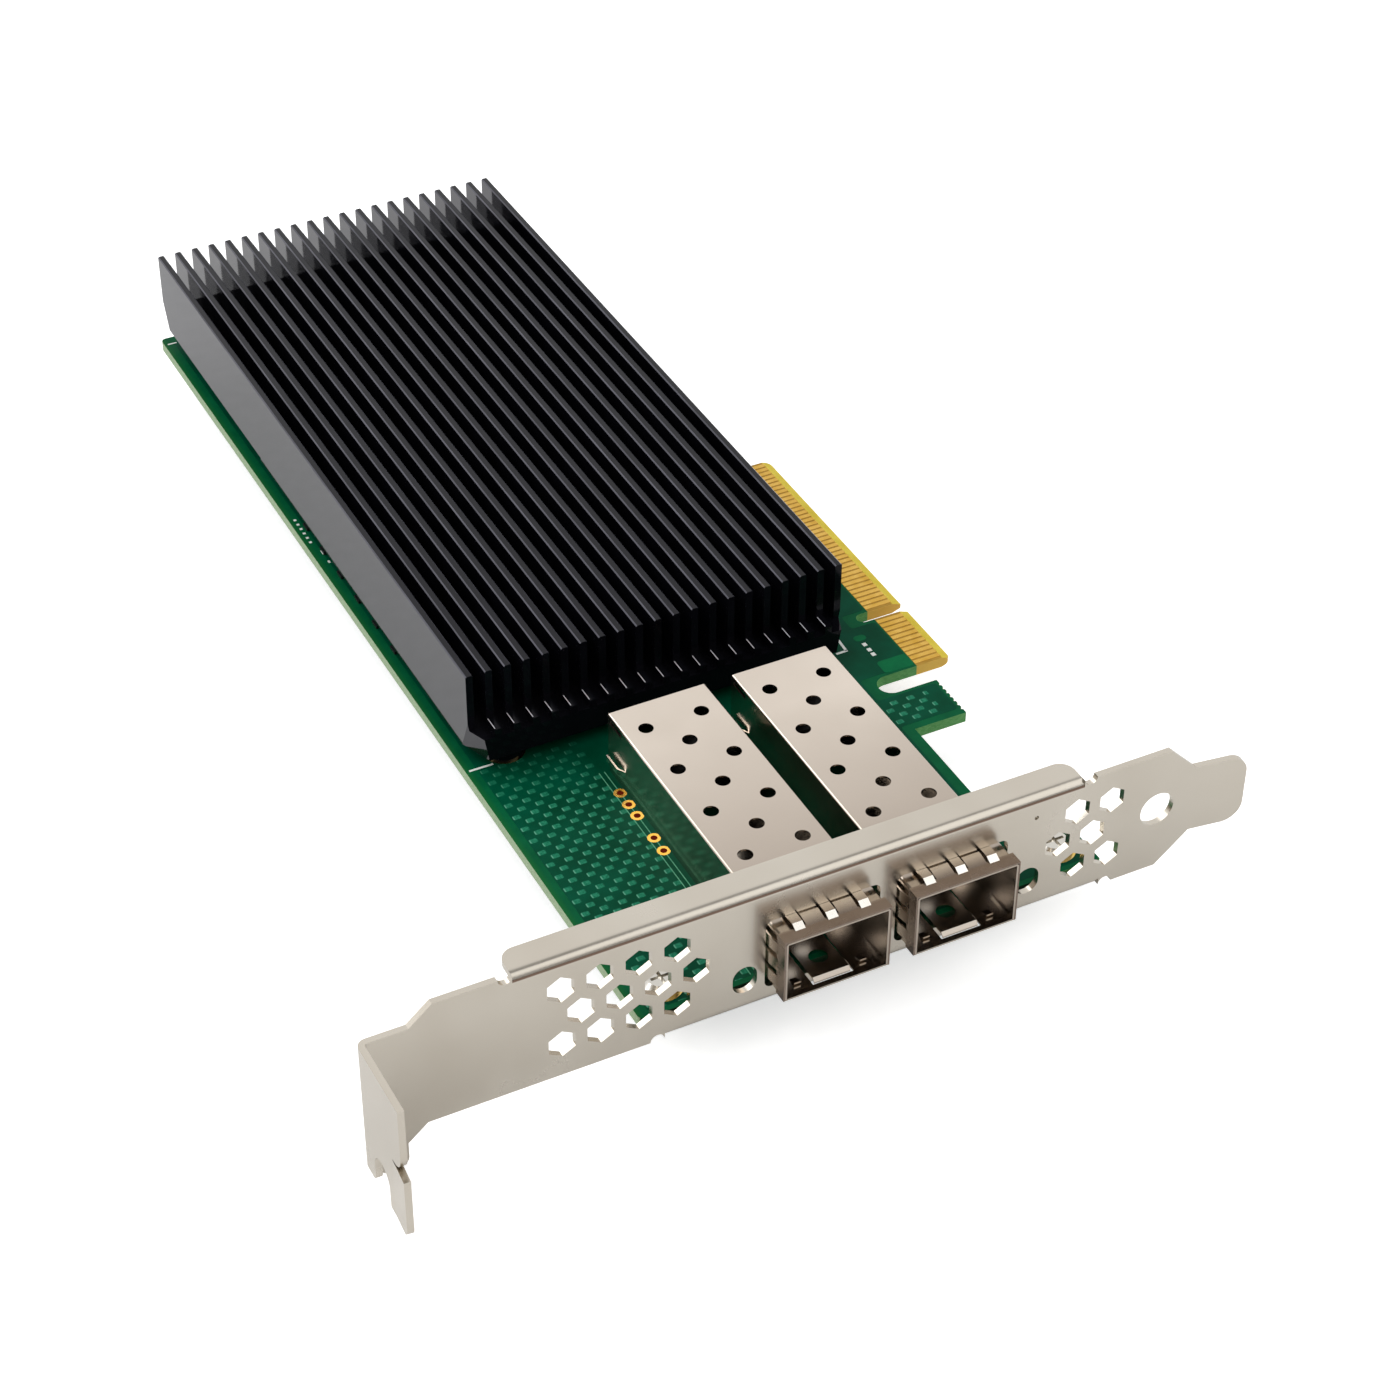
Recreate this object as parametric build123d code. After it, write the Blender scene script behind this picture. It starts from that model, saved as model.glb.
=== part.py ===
from build123d import *
import math
import os

# Network interface card: a full-height bracket, a board with a gold edge connector,
# a finned heatsink and two pluggable-module ports.
# The frame is the edge connector's: the origin is the centre of the key notch, on the
# contact edge and at half the board's thickness. +X points out of the contact edge,
# +Y runs away from the bracket and +Z is the component side. Millimetres.

# Board outline
board_thickness = 1.57
board_depth = 68.90
board_length = 167.65
board_gap = 0.30
plate_to_key = 57.15
tab_depth = 8.25
key_width = 1.90
key_depth = 7.50
relief_width = 3.80
root_depth = 12.30
hook_width = 7.80
hook_setback = 4.45
ear_length = 11.0
edge_bevel = 1.30
edge_bevel_angle = 20.0
corner_radius = 0.8
tooth_count = 7
tooth_radius = 0.25
tooth_pitch = 0.95

# Edge contacts
contact_pitch = 1.00
contact_width = 0.70
contact_length = 4.00
contact_thickness = 0.05
segment_margin = 0.475
short_contact_count = 11
long_contact_count = 38

# Bracket sheet
sheet = 0.86
plate_width = 18.42
plate_length = 120.02
plate_rise = 15.20
flange_reach = 104.67
flange_width = 19.05
flange_drop = 2.66
flange_depth = 11.43
neck_start = 6.2
neck_end = 9.2
foot_depth = 5.3
foot_start = 7.9
foot_slope = 2.3
foot_reach = 21.59
foot_radius = 1.4
tongue_width = 10.19
tongue_length = 7.4
upper_taper_length = 4.0
lower_taper_length = 4.7
tongue_upper_radius = 2.4
tongue_lower_radius = 2.8
tongue_angle = 8.0
bend_radius = 0.40
screw_slot_width = 4.42
screw_slot_centre = 5.1
screw_slot_depth = 5.08
free_tab_rise = 9.2
free_tab_line = 8.9
free_tab_length = 3.9
free_tab_angle = 4.0
free_tab_gap = 0.15
flange_front_radius = 2.0
slot_lobe_radius = 0.8
lobe_radius = 1.4

# Bracket openings
hex_across = 3.45
hex_pitch = 5.01
hex_row_count = 3
hex_from_flange = 25.1
hex_column_count = 4
hex_below_top = 4.70
right_hex_from_tip = 24.81
right_hex_column_count = 2
round_hole_radius = 2.45
round_hole_from_tip = 12.72
round_hole_below_top = 8.9
light_hole_width = 3.3
light_hole_height = 4.1
light_hole_gap = 3.45
right_light_hole_gap = 4.05
light_hole_rise = 1.77
pin_hole_radius = 0.3
pin_hole_rise = 11.8
pin_hole_shift = 0.6
window_gap_x = 0.76
window_gap_z = 0.73
window_radius = 1.0

# Bracket lips and ears
lip_depth = 4.45
lip_start = 19.1
lip_end = 95.9
lip_corner = 2.0
relief_radius = 0.9
lower_lip_before_screw = 2.02
lower_lip_past_screw = 3.53
lower_lip_depth = 2.6
lower_relief_radius = 0.95

# Card fasteners
screw_inset_x = 4.75
ear_screw_inset_x = 4.25
screw_inset_y = 4.10
ear_radius = 3.6
m25_shaft = 1.25
m25_head_radius = 2.45
m25_head_height = 1.50
m25_head_bevel = 0.75
m25_clearance = 0.15
cross_width = 0.45
cross_length = 2.6
cross_depth = 0.7
bush_radius = 2.2
bush_shank = 1.7
pad_radius = 2.85
pad_thickness = 0.05

# Ports
port_pitch = 17.87
port_pair_shift = 0.35
cage_width = 14.08
cage_height = 9.22
cage_front = 3.81
cage_back = 44.5
cage_sheet = 0.25
cage_fold = 0.35
cage_gap = 0.03
top_hole_radius = 1.0
top_hole_column = 3.97
top_hole_row = 9.05
top_hole_row_count = 5
top_hole_inset = 4.80
corner_slot_length = 3.3
corner_slot_height = 0.7
floor_wall = 0.6
floor_back = 30.0
rear_opening = 0.8
latch_width = 5.0
latch_setback = 1.5
latch_length = 8.0
latch_slit = 0.3
latch_lift = 0.45
latch_lip = 0.4
latch_hole = 1.2
latch_hole_back = 3.2
floor_tab_shift = 4.5
floor_tab_width = 0.9
floor_tab_length = 1.3
floor_tab_rise = 0.5
floor_tab_setback = 1.6
cage_pin_width = 0.7
cage_pin_drop = 2.3
cage_pin_hole = 0.50
cage_pin_count = 4
cage_pin_pitch = 10.4
cage_pin_first = 5.2
rear_tab_length = 4.3
rear_tab_height = 0.9
rear_tab_rise = 2.3
rear_tab_bow = 0.7

# Spring collars round the port mouths
collar_sheet = 0.20
collar_length = 7.2
collar_band = 1.9
collar_heel = 0.6
finger_width = 1.35
finger_bow = 0.46
finger_ramp = 0.9
finger_overhang = 0.5
panel_width = 2.5
panel_bow = 0.30
panel_ramp = 1.6
finger_slit = 0.3
side_finger_width = 1.7
side_finger_pitch = 2.6

# Port connectors
connector_width = 12.0
connector_height = 6.0
connector_front = 33.2
connector_length = 9.0
slot_height = 1.3
slot_rise = 3.4
slot_width = 10.2
slot_depth = 7.0
port_contact_pitch = 0.80
port_contact_width = 0.35
port_contact_thickness = 0.20
port_contact_count = 10
port_tail = 1.3

# Heatsink
sink_width = 54.80
sink_inset = 1.05
sink_front = 50.7
sink_gap = 2.00
sink_height = 12.47
sink_relief = 0.50
sink_relief_from_front = 77.3
base_thickness = 3.60
step_height = 4.80
step_depth = 2.60
fin_count = 21
fin_thickness = 1.00
fin_bevel = 0.16
foot_bevel_length = 4.8
foot_bevel_width = 1.8
foot_bevel_lean = 2.1
boss_radius = 2.55
boss_inset_x = 5.25
boss_inset_y = 3.4
boss_back_inset_y = 4.2
tap_depth = 4.2

# Controller and small parts
controller_y = 24.0
substrate_size = 25.0
substrate_thickness = 0.90
lid_size = 22.6
lid_thickness = 0.85
pad_margin = 1.5
inductor_size = 4.8
inductor_height = 1.70
inductor_count = 4
inductor_pitch = 7.2
inductor_y = 62.0
regulator_size = 4.0
regulator_height = 0.85
regulator_distance = 1.2
flash_length = 4.9
flash_width = 3.9
flash_height = 1.50
flash_lead_count = 4
flash_lead_pitch = 1.27
flash_lead_width = 0.4
flash_lead_thickness = 0.2
flash_lead_reach = 1.0
flash_standoff = 0.15
flash_distance = 9.0
crystal_length = 3.2
crystal_width = 2.5
crystal_height = 0.80
crystal_distance = 6.0
chip_length = 1.6
chip_width = 0.8
chip_height = 0.7
resistor_height = 0.45
bypass_row_count = 3
bypass_column_count = 5
bypass_pitch = 4.6
strip_count = 6
strip_pitch = 6.4
strip_first = 22.0
light_length = 1.6
light_depth = 0.8
light_height = 0.7
light_setback = 2.2

# Worked-out places
board_top = board_thickness / 2
board_bottom = -board_thickness / 2
plate_back = -plate_to_key
plate_front = plate_back - sheet
board_front = plate_back + board_gap
board_back = board_front + board_length
short_length = (short_contact_count - 1) * contact_pitch + contact_width + 2 * segment_margin
long_length = (long_contact_count - 1) * contact_pitch + contact_width + 2 * segment_margin
short_front = -key_width / 2 - short_length
long_back = key_width / 2 + long_length
hook_back = short_front - relief_width
hook_front = hook_back - hook_width
ear_back = board_front + ear_length
flange_x = -flange_reach
plate_top = board_top + plate_rise
plate_bottom = plate_top - plate_width
flange_top = plate_top - flange_drop
flange_bottom = flange_top - flange_width
foot_bottom = flange_top - foot_reach
tip_x = flange_x + plate_length
tongue_top = (plate_top + plate_bottom + tongue_width) / 2
tongue_bottom = tongue_top - tongue_width
tongue_x = tip_x - tongue_length
lip_radius = bend_radius + sheet
upper_lip_x = (flange_x + lip_start, flange_x + lip_end)
mouth_y = plate_front - cage_front
rear_y = plate_front + cage_back
cage_top = board_top + cage_height
screw_y = board_front + screw_inset_y
bracket_screws_x = (-board_depth + screw_inset_x, -hook_setback - ear_screw_inset_x)
lower_lip_x = (bracket_screws_x[0] - lower_lip_before_screw, bracket_screws_x[1] + lower_lip_past_screw)
ports_middle = sum(bracket_screws_x) / 2 + port_pair_shift
port_places = {"left": ports_middle - port_pitch / 2, "right": ports_middle + port_pitch / 2}
sink_x = -board_depth + sink_inset + sink_width / 2
sink_y0 = plate_front + sink_front
sink_y1 = board_back
fin_front_y = sink_y0 + step_depth
sink_z0 = board_top + sink_gap
sink_z1 = sink_z0 + sink_height
fin_pitch = (sink_width - fin_thickness) / (fin_count - 1)
boss_places = [
    (x, y)
    for x in (sink_x - sink_width / 2 + boss_inset_x, sink_x + sink_width / 2 - boss_inset_x)
    for y in (sink_y0 + boss_inset_y, sink_y1 - boss_back_inset_y)
]


def block(x0, x1, y0, y1, z0, z1):
    """A rectangular solid from its six faces."""
    centre = ((x0 + x1) / 2, (y0 + y1) / 2, (z0 + z1) / 2)
    return Pos(*centre) * Box(abs(x1 - x0), abs(y1 - y0), abs(z1 - z0))


def post(x, y, z0, z1, radius):
    """An upright cylinder."""
    return Pos(x, y, (z0 + z1) / 2) * Cylinder(radius, abs(z1 - z0))


def along_x(points, x0, x1):
    """A prism whose outline is given by (y, z) points and which runs from x0 to x1."""
    face = make_face(Polyline(*[(x0, y, z) for y, z in points], close=True))
    return extrude(face, x1 - x0, dir=(1, 0, 0))


def along_y(points, y0, y1):
    """A prism whose outline is given by (x, z) points and which runs from y0 to y1."""
    face = make_face(Polyline(*[(x, y0, z) for x, z in points], close=True))
    return extrude(face, y1 - y0, dir=(0, 1, 0))


def upright(points, z0, z1):
    """A prism whose outline is given by (x, y) points and which runs from z0 to z1."""
    face = make_face(Polyline(*[(x, y, z0) for x, y in points], close=True))
    return extrude(face, z1 - z0, dir=(0, 0, 1))


def round_edges(solid, axis, radius, pick):
    """Round the straight edges along one axis whose centres pass the pick test."""
    edges = [edge for edge in solid.edges().filter_by(axis) if pick(edge.center())]
    return fillet(edges, radius)


def plate_hole(tool, x, z):
    """Turn a flat outline so that it cuts through the bracket plate at x, z."""
    plane = Plane(origin=(x, plate_back + sheet, z), x_dir=(1, 0, 0), z_dir=(0, -1, 0))
    return extrude(plane * tool, 3 * sheet)


def near(value, target):
    """True where two lengths agree to a hundredth."""
    return abs(value - target) < 0.01


def hex_places():
    """Centres of the vent hexagons: three staggered rows in each of the two groups."""
    row_pitch = hex_pitch * math.sqrt(3) / 2
    left = (flange_x + hex_from_flange, hex_column_count, hex_pitch / 2)
    right = (tip_x - right_hex_from_tip, right_hex_column_count, -hex_pitch / 2)
    places = []
    for start, columns, stagger in (left, right):
        for row in range(hex_row_count):
            for column in range(columns):
                x = start + column * hex_pitch + (row % 2) * stagger
                places.append((x, plate_top - hex_below_top - row * row_pitch))
    return places


def bracket_plate():
    """The flat plate with its two tapers, its neck at the flange and its low foot."""
    outline = [
        (flange_x + lip_radius, flange_top),
        (flange_x + neck_start, flange_top),
        (flange_x + neck_end, plate_top),
        (tongue_x - upper_taper_length, plate_top),
        (tongue_x, tongue_top),
        (tongue_x, tongue_bottom),
        (tongue_x - lower_taper_length, plate_bottom),
        (flange_x + foot_start, plate_bottom),
        (flange_x + foot_depth, plate_bottom - foot_slope),
        (flange_x + foot_depth, foot_bottom),
        (flange_x + lip_radius, foot_bottom),
    ]
    plate = along_y(outline, plate_front, plate_back)
    return round_edges(plate, Axis.Y, foot_radius, lambda c: near(c.Z, foot_bottom))


def tongue():
    """The round-cornered tongue, bent a little forward where the tapers end."""
    solid = block(tongue_x, tip_x, plate_front, plate_back, tongue_bottom, tongue_top)
    solid = round_edges(solid, Axis.Y, tongue_upper_radius,
                        lambda c: near(c.X, tip_x) and near(c.Z, tongue_top))
    solid = round_edges(solid, Axis.Y, tongue_lower_radius,
                        lambda c: near(c.X, tip_x) and near(c.Z, tongue_bottom))
    return solid.rotate(Axis((tongue_x, plate_back, 0), (0, 0, 1)), -tongue_angle)


def fold_section(depth):
    """Section of a square fold: a quarter ring that goes on into a flat of the given depth.

    It is drawn from the bend's centre at (0, 0). The sheet comes up along the first
    axis's negative side and leaves along the second axis's positive side.
    """
    quarter = math.sqrt(0.5)
    inner, outer = bend_radius, lip_radius
    lines = [
        Line((-outer, 0), (-inner, 0)),
        ThreePointArc((-inner, 0), (-inner * quarter, inner * quarter), (0, inner)),
        Line((0, inner), (depth, inner)),
        Line((depth, inner), (depth, outer)),
        Line((depth, outer), (0, outer)),
        ThreePointArc((0, outer), (-outer * quarter, outer * quarter), (-outer, 0)),
    ]
    return make_face(Curve() + lines)


def lip(x0, x1, depth, edge, sign):
    """A lip folded back from the plate's upper (+1) or lower (-1) edge between x0 and x1."""
    plane = Plane(origin=(x0, plate_front + lip_radius, edge - sign * lip_radius),
                  x_dir=(0, 1, 0), z_dir=(sign, 0, 0))
    return extrude(plane * fold_section(depth - lip_radius), x1 - x0, dir=(1, 0, 0))


def flange():
    """The chassis flange, with an open screw slot and a sheared tab at its free end."""
    line_y = plate_front - free_tab_line
    front_y = plate_front - flange_depth
    bend_y = plate_back - lip_radius
    tab_top = flange_bottom + free_tab_rise
    slot_y = plate_front - screw_slot_centre
    outer, inner = flange_x, flange_x + sheet
    centre = (flange_x + lip_radius, bend_y, flange_bottom)
    fold = extrude(Plane(origin=centre) * fold_section(sheet), flange_top - flange_bottom, dir=(0, 0, 1))
    front = block(outer, inner, front_y, line_y, tab_top + free_tab_gap, flange_top)
    front = round_edges(front, Axis.X, flange_front_radius,
                        lambda c: near(c.Y, front_y) and c.Z < flange_top - flange_front_radius)
    tab = block(outer, inner, line_y - free_tab_length, line_y, flange_bottom, tab_top)
    tab = round_edges(tab, Axis.X, lobe_radius,
                      lambda c: c.Y < line_y - lobe_radius and near(c.Z, flange_bottom))
    tab = tab.rotate(Axis((inner, line_y, 0), (0, 0, 1)), -free_tab_angle)
    body = block(outer, inner, line_y, bend_y, flange_bottom, flange_top) - screw_slot(slot_y)
    body = round_edges(body, Axis.X, slot_lobe_radius,
                       lambda c: near(c.Y, slot_y + screw_slot_width / 2) and near(c.Z, flange_bottom))
    return body + fold + front + tab


def screw_slot(y):
    """Waste of the chassis screw's slot, open at the flange's lower edge and round at its top."""
    radius = screw_slot_width / 2
    top = flange_bottom + screw_slot_depth - radius
    slot = block(flange_x - sheet, flange_x + 2 * sheet, y - radius, y + radius, flange_bottom - sheet, top)
    return slot + Pos(flange_x, y, top) * Rot(0, 90, 0) * Cylinder(radius, 4 * sheet)


def ears():
    """Two round-ended ears on the lower lip, each bored for the bush that carries the card."""
    z0 = plate_bottom
    z1 = plate_bottom + sheet
    root_y = plate_front + lip_radius
    span = block(*lower_lip_x, root_y, screw_y + ear_radius, z0, z1)
    pair = []
    for x in bracket_screws_x:
        tab = block(x - ear_radius, x + ear_radius, root_y, screw_y, z0, z1)
        tab += post(x, screw_y, z0, z1, ear_radius)
        pair.append((tab & span) - post(x, screw_y, z0 - 1, z1 + 1, bush_shank))
    return pair[0] + pair[1]


def fold_waste(span, edge, sign):
    """The plate's square edge between the ends of a lip, which its fold replaces."""
    return block(*span, plate_front - 1, plate_back + 1, edge - sign * lip_radius, edge)


def relief_notches(span, edge, radius):
    """Round notches just past both ends of a lip, through the plate and the fold's corner."""
    middle_y = (plate_front + plate_back) / 2
    places = [(x, middle_y, edge) for x in (span[0] - radius, span[1] + radius)]
    return [Pos(*place) * Rot(90, 0, 0) * Cylinder(radius, 4 * sheet) for place in places]


def plate_openings():
    """Everything cut through the plate: vents, port windows and the round holes."""
    hexagon = RegularPolygon(hex_across / 2, 6, major_radius=False, rotation=30)
    cuts = [plate_hole(hexagon, x, z) for x, z in hex_places()]
    round_place = (tip_x - round_hole_from_tip, plate_top - round_hole_below_top)
    cuts.append(plate_hole(Circle(round_hole_radius), *round_place))
    window = RectangleRounded(cage_width + 2 * window_gap_x, cage_height + 2 * window_gap_z,
                              window_radius)
    for x in port_places.values():
        cuts.append(plate_hole(window, x, board_top + cage_height / 2))
    oval = SlotOverall(light_hole_height, light_hole_width, rotation=90)
    for x in light_places():
        cuts.append(plate_hole(oval, x, board_top + light_hole_rise))
    pin_x = light_places()[1] + pin_hole_shift
    cuts.append(plate_hole(Circle(pin_hole_radius), pin_x, board_top + pin_hole_rise))
    return cuts


def bracket():
    """The whole bracket, one folded sheet."""
    solid = bracket_plate() + tongue()
    solid -= fold_waste(upper_lip_x, plate_top, 1)
    solid -= fold_waste(lower_lip_x, plate_bottom, -1)
    tip_y = plate_front + lip_depth
    upper = lip(*upper_lip_x, lip_depth, plate_top, 1)
    solid += round_edges(upper, Axis.Z, lip_corner, lambda c: near(c.Y, tip_y))
    solid += lip(*lower_lip_x, lower_lip_depth, plate_bottom, -1)
    solid += ears()
    solid += flange()
    cuts = plate_openings()
    cuts += relief_notches(upper_lip_x, plate_top, relief_radius)
    cuts += relief_notches(lower_lip_x, plate_bottom, lower_relief_radius)
    for cut in cuts:
        solid -= cut
    return solid


def light_places():
    """Centres in X of the two light holes, one outside each port."""
    left = port_places["left"] - cage_width / 2 - light_hole_gap
    right = port_places["right"] + cage_width / 2 + right_light_hole_gap
    return left, right


def board():
    """The bare board with its key, hook, ear and holes."""
    far = -board_depth
    outline = [
        (far, board_front),
        (-hook_setback, board_front),
        (-hook_setback, ear_back),
        (-root_depth, ear_back),
        (-root_depth, hook_front),
        (-hook_setback, hook_front),
        (-hook_setback, hook_back),
        (-root_depth + relief_width / 2, hook_back),
        (-root_depth + relief_width / 2, short_front),
        (0, short_front),
        (0, long_back),
        (-tab_depth, long_back),
        (-tab_depth, board_back),
        (far, board_back),
    ]
    solid = upright(outline, board_bottom, board_top)
    solid = round_edges(solid, Axis.Z, corner_radius, lambda c: near(c.X, far))
    solid = round_edges(solid, Axis.Z, corner_radius, lambda c: near(c.X, 0) and not abs(c.Y) < 2)
    centre_y = (hook_back + short_front) / 2
    cuts = [post(-root_depth + relief_width / 2, centre_y, -2, 2, relief_width / 2)]
    cuts.append(block(-key_depth + key_width / 2, 1, -key_width / 2, key_width / 2, -2, 2))
    cuts.append(post(-key_depth + key_width / 2, 0, -2, 2, key_width / 2))
    bevel_drop = edge_bevel * math.tan(math.radians(edge_bevel_angle))
    for sign in (1, -1):
        face = sign * board_thickness / 2
        wedge = [(-edge_bevel, face), (0, face - sign * bevel_drop), (1, face - sign * bevel_drop),
                 (1, face + sign), (-edge_bevel, face + sign)]
        cuts.append(along_y(wedge, short_front - 1, long_back + 1))
    first = (hook_front + hook_back) / 2 - (tooth_count - 1) * tooth_pitch / 2
    for index in range(tooth_count):
        cuts.append(post(-hook_setback, first + index * tooth_pitch, -2, 2, tooth_radius))
    for x in bracket_screws_x:
        cuts.append(post(x, screw_y, -2, 2, m25_shaft + m25_clearance))
    for x, y in boss_places:
        cuts.append(post(x, y, -2, 2, m25_shaft + m25_clearance))
    for x, y in cage_pin_places():
        cuts.append(post(x, y, -2, 2, cage_pin_hole))
    for cut in cuts:
        solid -= cut
    return solid


def edge_contacts(sign):
    """Gold contact fingers of one side; sign is +1 for the component side."""
    face = sign * board_thickness / 2
    z0, z1 = sorted((face, face + sign * contact_thickness))
    pads = []
    for start, count in ((short_front, short_contact_count), (key_width / 2, long_contact_count)):
        for index in range(count):
            y = start + segment_margin + index * contact_pitch
            pads.append(block(-edge_bevel - contact_length, -edge_bevel, y, y + contact_width, z0, z1))
    return Compound(children=pads)


def screw_pads():
    """Plated rings round the six fastener holes, on both faces of the board."""
    rings = []
    places = [(x, screw_y) for x in bracket_screws_x] + boss_places
    for x, y in places:
        for z0 in (board_top, board_bottom - pad_thickness):
            ring = post(x, y, z0, z0 + pad_thickness, pad_radius)
            rings.append(ring - post(x, y, z0 - 1, z0 + 1, m25_shaft + m25_clearance))
    return Compound(children=rings)


def pan_screw(x, y, seat, tip, up):
    """A cross-recess pan-head screw; up is +1 where its head is on top of its seat."""
    top = seat + up * m25_head_height
    head = post(x, y, seat, top, m25_head_radius)
    rim = [edge for edge in head.edges().filter_by(GeomType.CIRCLE) if near(edge.center().Z, top)]
    head = chamfer(rim, m25_head_bevel)
    floor = top - up * cross_depth
    for length, width in ((cross_length, cross_width), (cross_width, cross_length)):
        head -= block(x - length / 2, x + length / 2, y - width / 2, y + width / 2, floor, top + up)
    return head + post(x, y, seat, tip, m25_shaft)


def bracket_screws():
    """The two screws that hold the board to the bracket's ears."""
    seat = board_top + pad_thickness
    tip = plate_bottom
    return Compound(children=[pan_screw(x, screw_y, seat, tip, 1) for x in bracket_screws_x])


def bracket_bushes():
    """Threaded bushes pressed into the ears, which space the board off the lip."""
    lip_top = plate_bottom + sheet
    bushes = []
    for x in bracket_screws_x:
        collar = post(x, screw_y, lip_top, board_bottom - pad_thickness, bush_radius)
        shank = post(x, screw_y, plate_bottom, lip_top, bush_shank)
        bushes.append(collar + shank - post(x, screw_y, plate_bottom - 1, board_bottom, m25_shaft))
    return Compound(children=bushes)


def heatsink_screws():
    """Four screws from the solder side into the heatsink's bosses."""
    seat = board_bottom - pad_thickness
    tip = board_top + tap_depth - m25_clearance
    return Compound(children=[pan_screw(x, y, seat, tip, -1) for x, y in boss_places])


def sink_profile():
    """Half-open comb outline in X and Z: the base with its bevelled fins on top."""
    x0 = sink_x - sink_width / 2
    floor = sink_z0 + base_thickness
    points = [(x0 + sink_width, sink_z0), (x0, sink_z0)]
    for index in range(fin_count):
        left = x0 + index * fin_pitch
        right = left + fin_thickness
        if index > 0:
            points.append((left, floor))
        points.append((left, sink_z1 - fin_bevel))
        points.append((left + fin_bevel, sink_z1))
        points.append((right - fin_bevel, sink_z1))
        points.append((right, sink_z1 - fin_bevel))
        if index < fin_count - 1:
            points.append((right, floor))
    return points


def corner_bevel(x_sign, y_sign):
    """Waste of the leaning bevel at one lower corner of the heatsink."""
    x = sink_x + x_sign * sink_width / 2
    y = sink_y0 if y_sign < 0 else sink_y1
    top = sink_z0 + step_height
    shift = step_depth if y_sign < 0 else 0
    upper = (x, y - y_sign * shift, top)
    lower = (x, y - y_sign * (shift + foot_bevel_lean), sink_z0)
    inner = (x - x_sign * foot_bevel_width, y, sink_z0)
    plane = Plane(origin=lower, z_dir=normal_of(upper, lower, inner, (x_sign, y_sign, 0)))
    reach = 2 * foot_bevel_length
    waste = plane * Pos(0, 0, reach) * Box(4 * reach, 4 * reach, 2 * reach)
    keep = Pos(*lower) * Box(3 * reach, 3 * reach, 2 * (top - sink_z0))
    return waste & keep


def normal_of(a, b, c, outward):
    """Unit normal of the plane through three points, turned to the outward side."""
    first = Vector(*a) - Vector(*b)
    second = Vector(*c) - Vector(*b)
    normal = first.cross(second).normalized()
    return normal if normal.dot(Vector(*outward)) > 0 else normal * -1


def heatsink():
    """The extruded heatsink, milled back at its front and bevelled at its lower corners."""
    x0 = sink_x - sink_width / 2
    x1 = sink_x + sink_width / 2
    solid = along_y(sink_profile(), sink_y0, sink_y1)
    step_z = sink_z0 + step_height
    solid -= block(x0 - 1, x1 + 1, sink_y0 - 1, fin_front_y, step_z, sink_z1 + 1)
    for x_sign in (-1, 1):
        side_fin = sorted((sink_x + x_sign * (sink_width / 2 + 1),
                           sink_x + x_sign * (sink_width / 2 - fin_pitch + fin_thickness / 2)))
        solid -= block(*side_fin, sink_y0 - 1, fin_front_y, sink_z0 + base_thickness, sink_z1)
        for y_sign in (-1, 1):
            solid -= corner_bevel(x_sign, y_sign)
    relief_y = sink_y0 + sink_relief_from_front
    solid -= block(x0 - 1, x1 + 1, relief_y, sink_y1 + 1, sink_z0 - 1, sink_z0 + sink_relief)
    for x, y in boss_places:
        solid += post(x, y, board_top + pad_thickness, sink_z0 + base_thickness / 2, boss_radius)
    for x, y in boss_places:
        solid -= post(x, y, board_top - 1, board_top + tap_depth, m25_shaft)
    return solid


def controller_parts():
    """The network controller's package and its metal lid."""
    half = substrate_size / 2
    z0 = board_top
    z1 = z0 + substrate_thickness
    package = block(sink_x - half, sink_x + half, controller_y - half, controller_y + half, z0, z1)
    half = lid_size / 2
    lid = block(sink_x - half, sink_x + half, controller_y - half, controller_y + half,
                z1, z1 + lid_thickness)
    top_rim = lid.edges().group_by(Axis.Z)[-1]
    return package, chamfer(top_rim, 0.2)


def thermal_pad():
    """The soft pad between the controller's lid and the heatsink's base."""
    half = lid_size / 2 - pad_margin
    z0 = board_top + substrate_thickness + lid_thickness
    return block(sink_x - half, sink_x + half, controller_y - half, controller_y + half, z0, sink_z0)


def power_inductors():
    """Moulded power inductors in a row under the heatsink."""
    first = sink_x - (inductor_count - 1) * inductor_pitch / 2
    half = inductor_size / 2
    solids = []
    for index in range(inductor_count):
        x = first + index * inductor_pitch
        body = block(x - half, x + half, inductor_y - half, inductor_y + half,
                     board_top, board_top + inductor_height)
        solids.append(chamfer(body.edges().filter_by(Axis.Z), inductor_size * 0.12))
    return Compound(children=solids)


def voltage_regulators():
    """Flat regulators, one beside each inductor."""
    first = sink_x - (inductor_count - 1) * inductor_pitch / 2
    half = regulator_size / 2
    y = inductor_y + inductor_size / 2 + regulator_distance + half
    solids = []
    for index in range(inductor_count):
        x = first + index * inductor_pitch
        solids.append(block(x - half, x + half, y - half, y + half,
                            board_top, board_top + regulator_height))
    return Compound(children=solids)


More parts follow.
